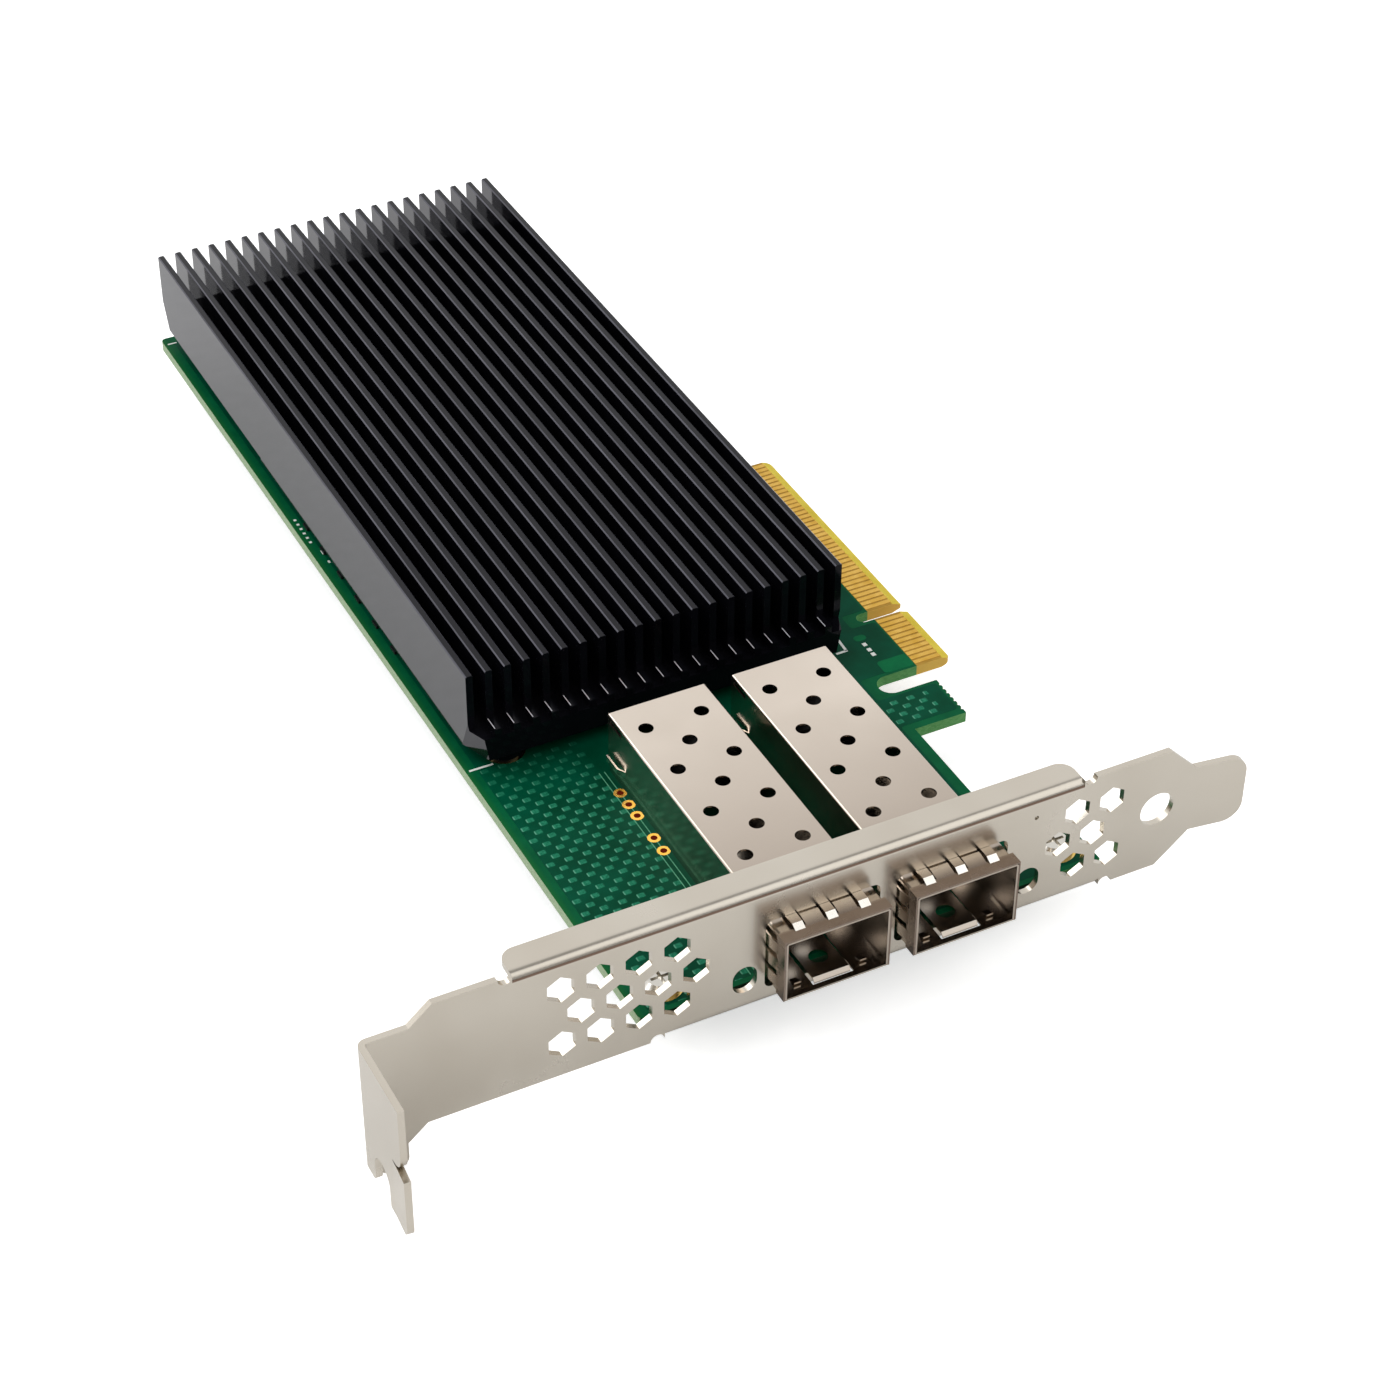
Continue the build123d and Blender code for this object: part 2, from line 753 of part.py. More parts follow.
def flash_memory():
    """An eight-lead memory chip with formed leads, on the solder side."""
    x = sink_x
    y = controller_y + substrate_size / 2 + flash_distance
    z0 = board_bottom
    body = block(x - flash_length / 2, x + flash_length / 2, y - flash_width / 2, y + flash_width / 2,
                 z0 - flash_height, z0 - flash_standoff)
    body = chamfer(body.edges().group_by(Axis.Z)[0], flash_height / 6)
    first = x - (flash_lead_count - 1) * flash_lead_pitch / 2
    middle = z0 - flash_height / 2
    thickness = flash_lead_thickness
    for index in range(flash_lead_count):
        left = first + index * flash_lead_pitch - flash_lead_width / 2
        for side in (-1, 1):
            edge = y + side * flash_width / 2
            root = edge - side * thickness
            knee = edge + side * flash_lead_reach / 2
            tip = edge + side * flash_lead_reach
            lead = [(root, middle), (knee, middle), (knee, z0 - thickness), (tip, z0 - thickness),
                    (tip, z0), (knee - side * thickness, z0), (knee - side * thickness, middle + thickness),
                    (root, middle + thickness)]
            body += along_x(lead, left, left + flash_lead_width)
    return body


def clock_crystal():
    """The reference crystal in its metal can, beside the controller."""
    x = sink_x - substrate_size / 2 - crystal_distance
    can = block(x - crystal_length / 2, x + crystal_length / 2, controller_y - crystal_width / 2,
                controller_y + crystal_width / 2, board_top, board_top + crystal_height)
    return fillet(can.edges().filter_by(Axis.Z), 0.4)


def ceramic_capacitors():
    """Bypass capacitors on the solder side, under the controller."""
    solids = []
    for row in range(bypass_row_count):
        for column in range(bypass_column_count):
            x = sink_x + (column - (bypass_column_count - 1) / 2) * bypass_pitch
            y = controller_y + (row - (bypass_row_count - 1) / 2) * bypass_pitch
            solids.append(block(x - chip_length / 2, x + chip_length / 2, y - chip_width / 2,
                                y + chip_width / 2, board_bottom - chip_height, board_bottom))
    return Compound(children=solids)


def chip_resistors():
    """Small resistors along the board's far edge, beside the heatsink's side."""
    x = -board_depth + sink_inset + chip_width
    solids = []
    for index in range(strip_count):
        y = strip_first + index * strip_pitch
        solids.append(block(x - chip_width / 2, x + chip_width / 2, y - chip_length / 2,
                            y + chip_length / 2, board_top, board_top + resistor_height))
    return Compound(children=solids)


def status_lights():
    """Two small lights on the board's front edge, one behind each light hole."""
    solids = []
    y0 = board_front + light_setback
    for x in light_places():
        solids.append(block(x - light_length / 2, x + light_length / 2, y0, y0 + light_depth,
                            board_top, board_top + light_height))
    return Compound(children=solids)


def cage_pin_places():
    """Centres of the cages' press-fit pins, in two rows under each cage."""
    places = []
    for x in port_places.values():
        for side in (-1, 1):
            row = x + side * (cage_width / 2 - cage_sheet / 2)
            for index in range(cage_pin_count):
                places.append((row, plate_front + cage_pin_first + index * cage_pin_pitch))
    return places


def cage_shell(x):
    """Folded cover of one port: top, both sides and a turned-down back."""
    half = cage_width / 2
    inner = half - cage_sheet
    z0 = board_top
    solid = block(x - half, x + half, mouth_y, rear_y, z0, cage_top)
    solid = round_edges(solid, Axis.Y, cage_fold, lambda c: near(c.Z, cage_top))
    core = block(x - inner, x + inner, mouth_y - 1, rear_y - cage_sheet, z0 - 1, cage_top - cage_sheet)
    core = round_edges(core, Axis.Y, cage_fold - cage_sheet, lambda c: near(c.Z, cage_top - cage_sheet))
    solid -= core
    solid -= block(x - half - 1, x + half + 1, rear_y - 2 * cage_sheet, rear_y + 1, z0 - 1, z0 + rear_opening)
    for row in range(top_hole_row_count - 1):
        for column in (-1, 0, 1):
            y = rear_y - top_hole_inset - (row + 0.5 * (column == 0)) * top_hole_row
            solid -= post(x + column * top_hole_column, y, cage_top - 1, cage_top + 1, top_hole_radius)
    slot_y = rear_y - cage_sheet - cage_fold
    slot_z = cage_top - cage_fold - cage_sheet
    for side in (-1, 1):
        wall = sorted((x + side * (half + 1), x + side * (inner - 0.1)))
        solid -= block(*wall, slot_y - corner_slot_length, slot_y,
                       slot_z - corner_slot_height, slot_z)
        solid += rear_tab(x + side * half, side)
    for px, py in cage_pin_places():
        if abs(px - x) < half:
            solid += block(px - cage_sheet / 2, px + cage_sheet / 2, py - cage_pin_width / 2,
                           py + cage_pin_width / 2, z0 - cage_pin_drop, z0 + 0.3)
    return solid


def rear_tab(x, side):
    """A bowed tab lanced out of a cage's side, near its back."""
    z0 = board_top + rear_tab_rise
    bow = side * rear_tab_bow
    y1 = rear_y - 0.8
    y0 = y1 - rear_tab_length
    thickness = side * cage_sheet
    outline = [(x, y0), (x + bow, y0 + 1.2), (x + bow, y1), (x + bow - thickness, y1),
               (x + bow - thickness, y0 + 1.2), (x - thickness / 2, y0)]
    return upright(outline, z0, z0 + rear_tab_height)


def cage_floor(x):
    """Floor of one port, with low side walls, two lanced tabs and a sprung latch tongue."""
    outer = cage_width / 2 - cage_sheet - cage_gap
    y1 = plate_front + floor_back
    z0 = board_top
    z1 = z0 + cage_sheet
    solid = block(x - outer, x + outer, mouth_y, y1, z0, z1)
    for side in (-1, 1):
        wall = sorted((x + side * outer, x + side * (outer - cage_sheet)))
        solid += block(*wall, mouth_y + 3 * cage_sheet, y1, z0, z0 + floor_wall)
    front = mouth_y + latch_setback
    root = front + latch_length
    half = latch_width / 2
    solid -= block(x - half - latch_slit, x + half + latch_slit, front - latch_lip - latch_slit, root,
                   z0 - 1, z0 + 1)
    latch = [(root, z0), (root, z1), (front, z1 + latch_lift), (front - latch_lip, z1),
             (front - latch_lip, z0), (front, z0 + latch_lift)]
    solid += along_x(latch, x - half, x + half)
    near_y = mouth_y + floor_tab_setback
    far_y = near_y + floor_tab_length
    tab = [(far_y, z0), (far_y, z1), (near_y, z1 + floor_tab_rise), (near_y, z0 + floor_tab_rise)]
    for side in (-1, 1):
        middle = x + side * floor_tab_shift
        solid += along_x(tab, middle - floor_tab_width / 2, middle + floor_tab_width / 2)
    return solid - post(x, front + latch_hole_back, z0 - 1, z0 + 3, latch_hole)


def raised_strip(y0, y1, ramp, bow):
    """Outline in Y and height of a strip that ramps up to its bow and slopes back down."""
    crest = [(y0, 0), (y0 + ramp, bow), (plate_back, bow), (y1, 0)]
    return crest + [(y, height + collar_sheet) for y, height in reversed(crest)]


def collar_fingers(x):
    """The raised fingers and panels on top of one collar and on both of its sides."""
    top = cage_top + cage_gap
    y0 = mouth_y + collar_band
    y1 = mouth_y + collar_length - collar_heel / 2
    finger = raised_strip(y0 - finger_overhang, y1, finger_ramp, finger_bow)
    panel = raised_strip(y0 - collar_heel / 2, y1, panel_ramp, panel_bow)
    pitch = (finger_width + panel_width) / 2 + finger_slit
    solids = []
    for index in range(-2, 3):
        strip, width = (panel, panel_width) if index % 2 else (finger, finger_width)
        centre = x + index * pitch
        outline = [(y, top + height) for y, height in strip]
        solids.append(along_x(outline, centre - width / 2, centre + width / 2))
    for side in (-1, 1):
        wall = x + side * (cage_width / 2 + cage_gap)
        for index in (-1, 0, 1):
            middle = board_top + cage_height / 2 + index * side_finger_pitch
            outline = [(wall + side * height, y) for y, height in panel]
            solids.append(upright(outline, middle - side_finger_width / 2,
                                  middle + side_finger_width / 2))
    return solids


def collar_hoop(x, y0, y1):
    """A three-sided strap over one cage, from y0 to y1."""
    outer = cage_width / 2 + cage_gap + collar_sheet
    z0 = board_top
    z1 = cage_top + cage_gap + collar_sheet
    hoop = block(x - outer, x + outer, y0, y1, z0, z1)
    inner = outer - collar_sheet
    return hoop - block(x - inner, x + inner, y0 - 1, y1 + 1, z0 - 1, z1 - collar_sheet)


def spring_collar(x):
    """The sprung contact collar round one port's mouth, which grounds it to the bracket."""
    heel = mouth_y + collar_length
    solid = collar_hoop(x, mouth_y, mouth_y + collar_band)
    solid += collar_hoop(x, heel - collar_heel, heel)
    for finger in collar_fingers(x):
        solid += finger
    return solid


def port_connector(x):
    """The host connector's housing, open at its front to take a module's edge."""
    z0 = board_top
    y0 = plate_front + connector_front
    y1 = y0 + connector_length
    body = block(x - connector_width / 2, x + connector_width / 2, y0, y1, z0, z0 + connector_height)
    edges = [edge for edge in body.edges().filter_by(Axis.X) if near(edge.center().Y, y0)]
    body = chamfer(edges, 0.5)
    slot_z = z0 + slot_rise
    body -= block(x - slot_width / 2, x + slot_width / 2, y0 - 1, y0 + slot_depth,
                  slot_z - slot_height / 2 - port_contact_thickness,
                  slot_z + slot_height / 2 + port_contact_thickness)
    body -= block(x - slot_width / 2, x + slot_width / 2, y1 - 1.2, y1 + 1, z0 - 1, z0 + slot_rise)
    return body


def port_contacts(x):
    """Two rows of contacts in one port connector, each with a tail on the board."""
    y0 = plate_front + connector_front
    y1 = y0 + connector_length
    slot_z = board_top + slot_rise
    thickness = port_contact_thickness
    first = x - (port_contact_count - 1) * port_contact_pitch / 2
    solids = []
    for index in range(port_contact_count):
        left = first + index * port_contact_pitch - port_contact_width / 2
        right = left + port_contact_width
        for sign in (1, -1):
            inner = slot_z + sign * slot_height / 2
            solids.append(block(left, right, y0 + 0.8, y0 + slot_depth, inner, inner + sign * thickness))
        tail = [(y1 - 1.2, slot_z - 0.6), (y1 - 1.2, slot_z - 0.6 - thickness), (y1 - 0.4, slot_z - 0.8),
                (y1 - 0.4, board_top), (y1 + port_tail, board_top), (y1 + port_tail, board_top + thickness),
                (y1 - 0.2, board_top + thickness), (y1 - 0.2, slot_z - 0.6)]
        solids.append(along_x(tail, left, right))
    return Compound(children=solids)


def all_parts():
    """Every node of the card by name."""
    package, lid = controller_parts()
    parts = {
        "circuit_board": board(),
        "edge_contacts_top": edge_contacts(1),
        "edge_contacts_bottom": edge_contacts(-1),
        "screw_pads": screw_pads(),
        "bracket": bracket(),
        "bracket_screws": bracket_screws(),
        "bracket_bushes": bracket_bushes(),
        "heatsink": heatsink(),
        "heatsink_screws": heatsink_screws(),
        "thermal_pad": thermal_pad(),
        "controller_package": package,
        "controller_lid": lid,
        "power_inductors": power_inductors(),
        "voltage_regulators": voltage_regulators(),
        "flash_memory": flash_memory(),
        "clock_crystal": clock_crystal(),
        "ceramic_capacitors": ceramic_capacitors(),
        "chip_resistors": chip_resistors(),
        "status_lights": status_lights(),
    }
    for name, x in port_places.items():
        parts[name + "_cage_cover"] = cage_shell(x)
        parts[name + "_cage_floor"] = cage_floor(x)
        parts[name + "_spring_collar"] = spring_collar(x)
        parts[name + "_port_connector"] = port_connector(x)
        parts[name + "_port_contacts"] = port_contacts(x)
    return parts


os.makedirs("parts", exist_ok=True)
for node, solid in all_parts().items():
    export_step(solid, "parts/" + node + ".step")
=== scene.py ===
# %% [markdown]
# # A network interface card, dressed for the camera
# The card's real shapes come from its engineering model: bracket, board, heatsink and port cages.
# This lesson loads that model as a fixed frame and then gives each surface its finish, adds the
# thin prints and platings that are too fine for the solids, and sets up light and camera.

# %% Load the frame
import math

import bmesh
import bpy
from mathutils import Matrix, Vector


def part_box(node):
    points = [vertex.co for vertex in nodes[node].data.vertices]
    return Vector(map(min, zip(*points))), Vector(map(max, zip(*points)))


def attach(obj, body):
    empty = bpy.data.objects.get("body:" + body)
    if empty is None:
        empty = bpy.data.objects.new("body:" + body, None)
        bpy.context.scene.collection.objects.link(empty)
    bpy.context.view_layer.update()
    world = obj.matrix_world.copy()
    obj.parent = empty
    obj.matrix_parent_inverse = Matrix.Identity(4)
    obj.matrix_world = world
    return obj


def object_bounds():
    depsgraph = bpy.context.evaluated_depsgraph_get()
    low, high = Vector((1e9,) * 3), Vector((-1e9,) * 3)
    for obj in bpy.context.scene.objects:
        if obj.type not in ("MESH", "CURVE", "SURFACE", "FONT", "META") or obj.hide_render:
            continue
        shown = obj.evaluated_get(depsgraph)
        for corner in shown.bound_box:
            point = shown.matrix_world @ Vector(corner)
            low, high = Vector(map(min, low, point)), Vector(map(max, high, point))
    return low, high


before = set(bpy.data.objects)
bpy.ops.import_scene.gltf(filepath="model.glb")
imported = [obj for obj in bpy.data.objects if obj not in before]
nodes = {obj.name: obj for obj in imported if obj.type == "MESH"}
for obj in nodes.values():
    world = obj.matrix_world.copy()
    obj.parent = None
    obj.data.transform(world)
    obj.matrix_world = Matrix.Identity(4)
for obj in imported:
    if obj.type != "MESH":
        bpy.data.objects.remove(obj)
cad_low, cad_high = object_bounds()
print("nodes:", len(nodes), "box in metres:", [round(h - l, 5) for l, h in zip(cad_low, cad_high)])

# %% [markdown]
# ## Small helpers
# A card like this is drawn in millimetres, and Blender works in metres, so one factor turns
# one into the other. Colours are picked as sRGB hex values, the way a paint chart gives them,
# and one function turns them to the linear values that a shader needs. One more function adds
# a shader node with its settings and links, so that each material reads like a short recipe.
# Its values fill the node's inputs in order, or go to an input by its name. A map range, for
# example, reads: the value, its two ends, and what they become, which is 0 and 1 where not given.

# %% Units, colours and shader nodes
MM = 0.001


def linear(hex_colour):
    """An sRGB hex colour as linear red, green, blue and alpha."""
    channels = [int(hex_colour[i:i + 2], 16) / 255 for i in (1, 3, 5)]
    return [c / 12.92 if c <= 0.04045 else ((c + 0.055) / 1.055) ** 2.4 for c in channels] + [1.0]


def add(tree, kind, *values, stops=(), **named):
    """Adds a shader node. Values fill its inputs in order, and a name with a capital fills the
    input of that name: another node or a socket is linked, a number or hex colour is set. Other
    names are settings of the node, and stops are the places and colours of a colour ramp."""
    node = tree.nodes.new("ShaderNode" + kind)
    for name, value in named.items():
        if name[0].islower():
            setattr(node, name, value)
    if stops:
        for element, (place, colour) in zip(node.color_ramp.elements, stops):
            element.position = place
            element.color = linear(colour)
    wanted = list(zip([socket for socket in node.inputs if socket.enabled], values))
    wanted += [(node.inputs[name.replace("_", " ")], value)
               for name, value in named.items() if name[0].isupper()]
    for socket, value in wanted:
        if isinstance(value, bpy.types.Node):
            value = next(output for output in value.outputs if output.enabled)
        if isinstance(value, bpy.types.NodeSocket):
            tree.links.new(value, socket)
        else:
            socket.default_value = linear(value) if isinstance(value, str) else value
    return node


print("helpers ready, one millimetre is", MM)

# %% [markdown]
# Every finish starts from an empty material, reads the place on the card in millimetres or the way
# the surface faces, and ends in one Principled shader. These four steps are the same each time, so
# each is a small function. Place and facing belong to the card and not to the camera, so a finish
# stays right from every side. A noise texture gets four values: the place, one over the size of its
# lumps in millimetres, how many finer layers it has, and how much each of them adds.

# %% Start and end of a finish
# How much each finer layer of a noise adds to the one before it.
LAYERING = 0.55


def new_material(name):
    """An empty node material and its tree."""
    material = bpy.data.materials.new(name)
    material.use_nodes = True
    material.node_tree.nodes.clear()
    return material, material.node_tree


def millimetres(tree, stretch=(1, 1, 1)):
    """Object coordinates in millimetres, stretched by the given factors."""
    place = add(tree, "TexCoord").outputs["Object"]
    return add(tree, "Mapping", place, Scale=[factor / MM for factor in stretch])


def facing(tree):
    """The way the surface faces, as separate X, Y and Z."""
    return add(tree, "SeparateXYZ", add(tree, "NewGeometry").outputs["Normal"])


def finish_shader(tree, colour, roughness, relief, depth_mm, **more):
    """Ends a finish: one Principled shader with a relief of known depth, and the output."""
    bump = add(tree, "Bump", Height=relief, Distance=depth_mm * MM)
    shader = add(tree, "BsdfPrincipled", Base_Color=colour, Roughness=roughness, Normal=bump, **more)
    add(tree, "OutputMaterial", shader)


print("noise layering:", LAYERING)

# %% [markdown]
# ## Plated and anodised metals
# The bracket is cold-rolled steel, stamped, folded and barrel-plated with nickel. Plating copies
# the sheet's rolling lines and softens them, so the surface is satin with a faint grain and a warm
# grey colour. Where the lip is folded, a thin darker line is painted shade.
# One recipe serves the bracket, the cages and the screws, with other colours and gloss. It could
# be a plain metal with one roughness, but the slow change of roughness is what makes folded sheet
# look real.

# %% Nickel plate
# The cage tops get painted shade at the bracket and reach their full colour further back.
CAGE_SHADE_Y = -54.0
CAGE_UNSHADED_Y = -22.0
# The real grain is a few hundredths of a millimetre, so it is drawn coarser to show at all.
GRAIN_MM = 0.5
GRAIN_SHARE = 0.12
DRIFT_MM = 14.0


def fold_line(tree):
    """A mask for the thin line where the lip turns away from the plate's outer face. Upright is 0
    and level is 1, so the line lies where the surface has just begun to lean back."""
    way = facing(tree)
    leaving = add(tree, "MapRange", way.outputs["Z"], 0.12, 0.20)
    arriving = add(tree, "MapRange", way.outputs["Z"], 0.46, 0.38)
    turning = add(tree, "Math", leaving, arriving, operation="MULTIPLY")
    outside = add(tree, "MapRange", way.outputs["Y"], -0.5, -0.7)
    return add(tree, "Math", turning, outside, operation="MULTIPLY")


def nickel(name, dark, light, rough_low, rough_high, bracket_shade_colour=None, fold_shade_colour=None):
    """Plate on rolled sheet: colour and roughness drift slowly, with a fine grain."""
    material, tree = new_material(name)
    point = millimetres(tree)
    drift = add(tree, "TexNoise", point, 1 / DRIFT_MM, 2.0, LAYERING)
    colour = add(tree, "ValToRGB", drift, stops=[(0.3, dark), (0.7, light)])
    # Painted shade: the colour darkens towards the bracket.
    if bracket_shade_colour:
        y = add(tree, "SeparateXYZ", point).outputs["Y"]
        clear = add(tree, "MapRange", y, CAGE_SHADE_Y, CAGE_UNSHADED_Y)
        colour = add(tree, "Mix", clear, bracket_shade_colour, colour, data_type="RGBA")
    # Painted shade: a dark reflection line along the fold.
    if fold_shade_colour:
        colour = add(tree, "Mix", fold_line(tree), colour, fold_shade_colour, data_type="RGBA")
    grain = add(tree, "TexNoise", point, 1 / GRAIN_MM, 3.0, LAYERING)
    slow = add(tree, "Math", drift, 1 - GRAIN_SHARE, operation="MULTIPLY")
    both = add(tree, "Math", grain, GRAIN_SHARE, slow, operation="MULTIPLY_ADD")
    roughness = add(tree, "MapRange", both, 0.35, 0.65, rough_low, rough_high)
    finish_shader(tree, colour, roughness, drift, 0.004, Metallic=1.0)
    return material


# Satin nickel on thick sheet: warm grey, broad soft reflections, painted shade as a line at the fold.
BRACKET_NICKEL = nickel("satin_nickel_plated_steel", "#C8C0B3", "#D1CABE", 0.22, 0.28,
                        fold_shade_colour="#7A6558")
# Thin smooth sheet: lighter and glossier than the bracket, with painted shade towards the plate.
CAGE_NICKEL = nickel("smooth_nickel_plated_cage_sheet", "#D8CCBF", "#E2D6C9", 0.18, 0.24,
                     bracket_shade_colour="#B2A699")
# The floor's sheet: greyer than the cover's, which is painted shade inside the port, and a little
# glossier, so it mirrors the dark port.
FLOOR_NICKEL = nickel("nickel_plated_cage_floor", "#B0A69A", "#BEB4A8", 0.14, 0.20)
# Bright zinc and bare lids: a cooler, whiter grey that marks the turned and pressed parts.
ZINC_SCREW = nickel("bright_zinc_plated_screw_steel", "#C9C5BD", "#DEDAD2", 0.16, 0.26)
print("nickel:", [m.name for m in (BRACKET_NICKEL, CAGE_NICKEL, FLOOR_NICKEL, ZINC_SCREW)])

# %% [markdown]
# The sprung collars are thin spring sheet, bowed by a press and plated with nickel. Near the mouth
# the colour is a brownish painted shade. The front slopes of the narrow fingers carry a painted
# highlight, and the wide panels between them get lighter towards the back, a painted reflection
# of the bowed sheet. Both are told apart by slope and place.

# %% Spring sheet
# Both collars begin at the mouth of the ports. The painted shade ends, and the fully lit colour
# begins, at these distances behind it.
MOUTH_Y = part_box("left_spring_collar")[0].y / MM
MOUTH_SHADE_TO = MOUTH_Y + 1.5
LIT_FROM = MOUTH_Y + 3.7


def spring_sheet():
    """Painted shade near the mouth, lighter behind, and a painted highlight on the fingers' front
    slopes.
    """
    material, tree = new_material("nickel_spring_sheet_with_painted_shade_and_glint")
    point = millimetres(tree)
    drift = add(tree, "TexNoise", point, 1 / 4.0, 2.0, LAYERING)
    # Painted shade at the mouth, and a painted reflection that grows lighter towards the back.
    near = add(tree, "ValToRGB", drift, stops=[(0.3, "#7E6F64"), (0.7, "#8C7D71")])
    behind = add(tree, "ValToRGB", drift, stops=[(0.3, "#D0C3B4"), (0.7, "#DDD1C2")])
    depth = add(tree, "MapRange", add(tree, "SeparateXYZ", point).outputs["Y"], MOUTH_SHADE_TO, LIT_FROM)
    sheet = add(tree, "Mix", depth, near, behind, data_type="RGBA")
    slope = facing(tree).outputs["Y"]
    leaning = add(tree, "MapRange", slope, -0.28, -0.36)
    not_front = add(tree, "MapRange", slope, -0.75, -0.65)
    slope_glint = add(tree, "Math", leaning, not_front, operation="MULTIPLY")
    # Painted highlight on the front slopes of the narrow fingers.
    colour = add(tree, "Mix", slope_glint, sheet, "#FFFAF0", data_type="RGBA")
    roughness = add(tree, "MapRange", drift, 0.3, 0.7, 0.22, 0.30)
    ripple = add(tree, "TexNoise", point, 1 / 1.5, 1.0, LAYERING)
    finish_shader(tree, colour, roughness, ripple, 0.0008, Metallic=1.0)
    return material


# Spring sheet: painted brownish shade at the mouth, with painted highlights on the fingers' slopes.
SPRING_NICKEL = spring_sheet()
print("springs:", SPRING_NICKEL.name, "from", round(MOUTH_Y, 2), "mm")

# %% [markdown]
# The heatsink is extruded aluminium, dyed black and sealed. The sealed dye is a clear dark coat, so
# it is almost black where nothing bright is behind the eye and grey where it mirrors the white
# table. The small bevels along each fin top carry painted highlights, two fine light lines. The
# reflection has painted shade: darker on the flat fin tops, darkest on the sawn fronts.

# %% Black anodised aluminium
def reflection_shade_tint(tree, way):
    """Painted shade on the reflection: darker on the flat tops, darkest on the sawn fronts."""
    flat_top = add(tree, "MapRange", way.outputs["Z"], 0.9, 0.98)
    tint = add(tree, "Mix", flat_top, "#F0EEFF", "#6C6C76", data_type="RGBA")
    sawn = add(tree, "MapRange", way.outputs["Y"], -0.5, -0.8)
    return add(tree, "Mix", sawn, tint, "#383844", data_type="RGBA")


def black_anodised():
    """Black dye with painted highlights on the bevels, and a gloss that changes in lines along the
    fins.
    """
    material, tree = new_material("black_anodised_extruded_aluminium")
    mottle = add(tree, "TexNoise", millimetres(tree), 1 / 6.0, 2.0, LAYERING)
    dye = add(tree, "ValToRGB", mottle, stops=[(0.3, "#060609"), (0.7, "#0C0C11")])
    # Painted highlight: light lines on the fin-top bevels, streaked along the fins.
    glint_streaks = add(tree, "TexNoise", millimetres(tree, (1, 0.1, 1)), 1 / 1.2, 3.0, LAYERING)
    bevel_glint = add(tree, "ValToRGB", glint_streaks, stops=[(0.3, "#3A3A40"), (0.7, "#5A5A62")])
    way = facing(tree)
    across = add(tree, "Math", way.outputs["X"], operation="ABSOLUTE")
    tilt = add(tree, "Math", way.outputs["Z"], across, operation="MULTIPLY")
    bevel = add(tree, "MapRange", tilt, 0.40, 0.45)
    colour = add(tree, "Mix", bevel, dye, bevel_glint, data_type="RGBA")
    lines = add(tree, "TexNoise", millimetres(tree, (1, 0.02, 1)), 1 / 0.6, 3.0, LAYERING)
    roughness = add(tree, "MapRange", lines, 0.3, 0.7, 0.06, 0.09)
    finish_shader(tree, colour, roughness, mottle, 0.002, IOR=1.55,
                  Specular_Tint=reflection_shade_tint(tree, way))
    return material


# Sealed black dye: near black from above, with painted shade on the tops' reflection, grey on the
# sides, and a painted highlight line at each bevel.
ANODISED = black_anodised()
print("heatsink:", ANODISED.name)

# %% [markdown]
# The contacts wear hard gold over nickel. Gold is told by its strong warm colour more than by
# its gloss. Years of handling are not visible here, so only a fine polish grain breaks it up.

# %% Gold plate
# Polishing leaves lines of a few hundredths of a millimetre, drawn coarser here so that they show.
POLISH_MM = 0.12


def gold(name, dark, light, rough):
    """Plated gold: a warm colour that drifts a little, with a fine polish grain."""
    material, tree = new_material(name)
    drift = add(tree, "TexNoise", millimetres(tree), 1 / 1.6, 3.0, LAYERING)
    colour = add(tree, "ValToRGB", drift, stops=[(0.35, dark), (0.65, light)])
    roughness = add(tree, "MapRange", drift, 0.3, 0.7, rough - 0.04, rough + 0.06)
    polish = add(tree, "TexNoise", millimetres(tree, (0.2, 1, 1)), 1 / POLISH_MM, 3.0, LAYERING)
    finish_shader(tree, colour, roughness, polish, 0.002, Metallic=1.0)
    return material


# Hard gold on the contacts and hole rings: deep yellow.
HARD_GOLD = gold("hard_gold_plated_contact", "#CDA040", "#DEB45A", 0.24)
# Thin immersion gold round the screw holes: paler, because the nickel below shows through.
PAD_GOLD = gold("immersion_gold_plated_pad", "#DDBB6A", "#F4DC96", 0.22)
print("gold:", HARD_GOLD.name, PAD_GOLD.name)

# %% [markdown]
# ## The board
# The board is woven glass set in epoxy, with copper under a green solder mask. Where there is no
# copper the mask lies on the bare laminate and looks lighter, and where there is a copper plane
# it looks deep green. The mask stops short of the contact edge, where the yellow laminate is bare.
# The cut sides are pale, and the green of the mask shines through them. All this is told apart by
# place and slope on one board, and the copper planes are thin sheets of their own laid on it.

# %% Board faces and sides
BOARD_LOW, BOARD_HIGH = (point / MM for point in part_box("circuit_board"))
# Along the far rim the mask runs thin.
RIM_WIDTH = 0.9
# The mask ends at this X, and at this Y the contact edge begins, behind the break-off hook.
MASK_END = -5.28
TAB_START = -13.7
# The contact edge is ground to a bevel from here on.
BEVEL_START = -1.35
# Left of this X the board's front side, close behind the bracket, is painted dark as shade.
EAR_ROOT = -13.0


def board_faces(tree, cloud, x, bare_tab):
    """Green mask, lighter along the rim, and the bare laminate of the contact edge."""
    mask = add(tree, "ValToRGB", cloud, stops=[(0.3, "#035030"), (0.7, "#075C38")])
    rim = add(tree, "MapRange", x, BOARD_LOW.x + RIM_WIDTH, BOARD_LOW.x)
    mask = add(tree, "Mix", rim, mask, "#17602E", data_type="RGBA")
    gap = add(tree, "ValToRGB", cloud, stops=[(0.3, "#A67F34"), (0.7, "#BC9444")])
    ground = add(tree, "ValToRGB", cloud, stops=[(0.3, "#CDB432"), (0.7, "#DEC94A")])
    bevel = add(tree, "MapRange", x, BEVEL_START - 0.1, BEVEL_START + 0.1)
    bare = add(tree, "Mix", bevel, gap, ground, data_type="RGBA")
    return add(tree, "Mix", bare_tab, mask, bare, data_type="RGBA")


